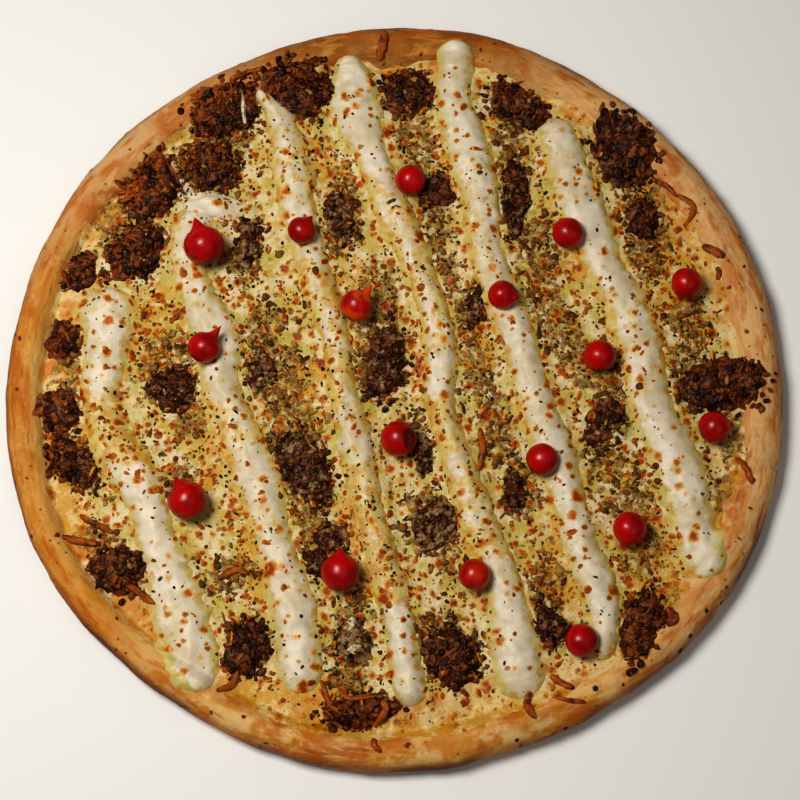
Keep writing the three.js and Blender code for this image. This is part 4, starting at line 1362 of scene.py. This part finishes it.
def scattered(number, crowd, span, proportions, shapes, sunk, rng):
    """Small shapes where they come to rest: so many, of that least and greatest size.

    Their proportions are along, across and up. Sunk is the share of their height that is buried.
    """
    x, y = rng.uniform(-REACH, REACH, (2, number * THROWS))
    keep = rng.random(len(x)) < crowd(x, y)
    for px, py, diameter, *_ in PEPPERS:
        keep &= np.hypot(x - px, y - py) > diameter / 2
    x, y = x[keep][:number], y[keep][:number]
    number = len(x)
    print(number, "small things landed")
    height, normals = drop(landings, x, y)
    radius = (span[0] + (span[1] - span[0]) * rng.random(number) ** 2) / 2
    sizes = radius[:, None] * proportions * rng.uniform(0.75, 1.25, (number, 3))
    buried = sunk + rng.uniform(-0.1, 0.1, number)
    places = np.column_stack([x, y, height]) + normals * ((1 - 2 * buried) * sizes[:, 2])[:, None]
    kinds = rng.integers(0, len(shapes[0]), number)
    copies = laid(shapes[0][kinds], sizes, rng.uniform(0, 2 * np.pi, number), normals, places)
    marks = {"tint": rng.random(number), "top": shapes[0][kinds][:, :, 2:]}
    return copies, shapes[1], shapes[2], marks


# %% [markdown]
# Each small thing has a number of its own, its tint, which shifts it along a ramp of colours, so no
# two crumbs are alike. A crumb is paler at its foot, where cheese clings to it, and a browned bit
# is darker in its middle, which the height inside the model shape tells.

# %% The crumbs' finish
crumb_finish = Finish("crumb_roast", Roughness=0.5, Specular_IOR_Level=0.25)
f = crumb_finish
shade = f.scaled(f.stored("tint"), 0.55, f.times(f.noise(1.3, None, 4.0, 0.65), 0.6))
meat = f.ramp(
    shade,
    (0.2, colour(62, 33, 12)),
    (0.42, colour(102, 62, 24)),
    (0.62, colour(138, 94, 42)),
    (0.8, colour(170, 130, 70)),
    (0.95, colour(202, 174, 118)),
)
edge = f.between(f.stored("top"), 0.0, 0.5, 0.7, 0.0)
f.paint("Base Color", f.mix(edge, meat, colour(170, 134, 76)))
f.bump(f.noise(0.8, None, 3.0), 0.35)

# %% The browned bits' and the herbs' finishes
browned_finish = Finish("browned_cheese", Roughness=0.4, Specular_IOR_Level=0.3)
f = browned_finish
middle = f.between(f.stored("top"), 0.35, 1.0, 0.0, 0.7)
depth = f.scaled(f.stored("tint"), 0.2, middle)
shade = f.scaled(f.noise(1.6, None, 4.0, 0.6), 0.3, depth)
cheese = f.ramp(
    shade,
    (0.12, colour(222, 184, 92)),
    (0.34, colour(216, 152, 40)),
    (0.6, colour(192, 104, 16)),
    (0.95, colour(144, 60, 10)),
)
f.paint("Base Color", cheese)
f.bump(f.noise(1.0, None, 3.0), 0.2)

herb_finish = Finish("dried_herb", Roughness=0.7, Specular_IOR_Level=0.2)
f = herb_finish
leaf = f.ramp(
    f.stored("tint"),
    (0.1, colour(36, 32, 15)),
    (0.5, colour(72, 66, 30)),
    (0.9, colour(122, 112, 54)),
)
f.paint("Base Color", leaf)

# %% [markdown]
# The crumbs fall first. The browned bits and the flakes come after them and may lie on them, so the
# crumbs join what a ray can land on.

# %% Crumbs, browned bits and flakes
rng = np.random.default_rng(11)
lumpy = scattered(2100, crumb_crowd, (1.0, 3.3), (1.25, 1.0, 0.7), fine_lumps, 0.55, rng)
stringy = scattered(450, crumb_crowd, (1.0, 1.9), (3.0, 1.0, 0.8), shreds, 0.4, rng)
crumbs = serve(joined("meat_crumbs", [lumpy, stringy]), "beef", crumb_finish)
landings.append(surface_of(crumbs))
bits = scattered(1500, browned_crowd, (1.2, 4.0), (1.2, 0.9, 0.4), uneven_lumps, 0.68, rng)
serve(joined("browned_bits", [bits]), "mozzarella", browned_finish)
flakes = scattered(3400, herb_crowd, (0.8, 2.4), (1.15, 0.75, 0.2), rough_lumps, 0.35, rng)
serve(joined("oregano_flakes", [flakes]), "beef", herb_finish)

# %% [markdown]
# ## Floor, light and camera
#
# A plain pale floor and a large soft light high above, a little to the left, so that it fades
# towards the right as in the photo. A weaker, larger light from the other side fills the shadows.
# The camera looks down steeply through a long lens. The photo has deep darks and clear whites, so
# the view gets a look of more contrast.

# %% Floor
FLOOR_SIZE = 3
FLOOR_GAP = 0.0003  # the floor lies a little lower, so that it never shows through the base
bm = bmesh.new()
bmesh.ops.create_grid(bm, x_segments=1, y_segments=1, size=FLOOR_SIZE)
bmesh.ops.translate(bm, verts=bm.verts, vec=(0, 0, -FLOOR_GAP))
floor_mesh = mesh_of(bm, "floor")
floor_finish = Finish("pale_floor", Roughness=0.8, Base_Color=colour(244, 243, 240))
floor_mesh.materials.append(floor_finish.material)
floor = bpy.data.objects.new("floor", floor_mesh)
bpy.context.scene.collection.objects.link(floor)
print("the floor is", 2 * FLOOR_SIZE, "m wide")

# %% Lights
TARGET = Vector((0, 0, 0.01))


def soft_light(name, place, size, power, shade):
    light = bpy.data.lights.new(name, "AREA")
    light.size = size
    light.energy = power
    light.color = shade
    lamp = bpy.data.objects.new(name, light)
    lamp.location = place
    lamp.rotation_euler = (TARGET - Vector(place)).to_track_quat("-Z", "Y").to_euler()
    bpy.context.scene.collection.objects.link(lamp)


soft_light("window", (-0.32, 0.04, 0.8), 0.3, 4.4, (1.0, 0.98, 0.94))
soft_light("fill", (0.7, -0.6, 1.3), 1.2, 1.5, (1.0, 0.98, 0.95))
world = bpy.data.worlds.new("studio")
world.use_nodes = True
world.node_tree.nodes["Background"].inputs["Color"].default_value = (1.0, 0.98, 0.96, 1.0)
world.node_tree.nodes["Background"].inputs["Strength"].default_value = 0.09
bpy.context.scene.world = world
bpy.context.scene.view_settings.view_transform = "Standard"
bpy.context.scene.view_settings.look = "High Contrast"
print("two lights and a dim world")

# %% Camera
LENS = 85  # millimetres
SENSOR = 36
LOOK_DOWN = np.radians(75)
AIM = np.array([2.1, -9.5, 12.0])
DISTANCE = 850
back = np.array([0, -np.cos(LOOK_DOWN), np.sin(LOOK_DOWN)])
camera_data = bpy.data.cameras.new("camera")
camera_data.lens = LENS
camera_data.sensor_width = SENSOR
camera_data.clip_end = 20
camera = bpy.data.objects.new("camera", camera_data)
camera.location = Vector((AIM + TO_FRAME + back * DISTANCE) * MM)
camera.rotation_euler = (np.pi / 2 - LOOK_DOWN, 0, 0)
bpy.context.scene.collection.objects.link(camera)
bpy.context.scene.camera = camera
print("the camera is", DISTANCE, "mm away")
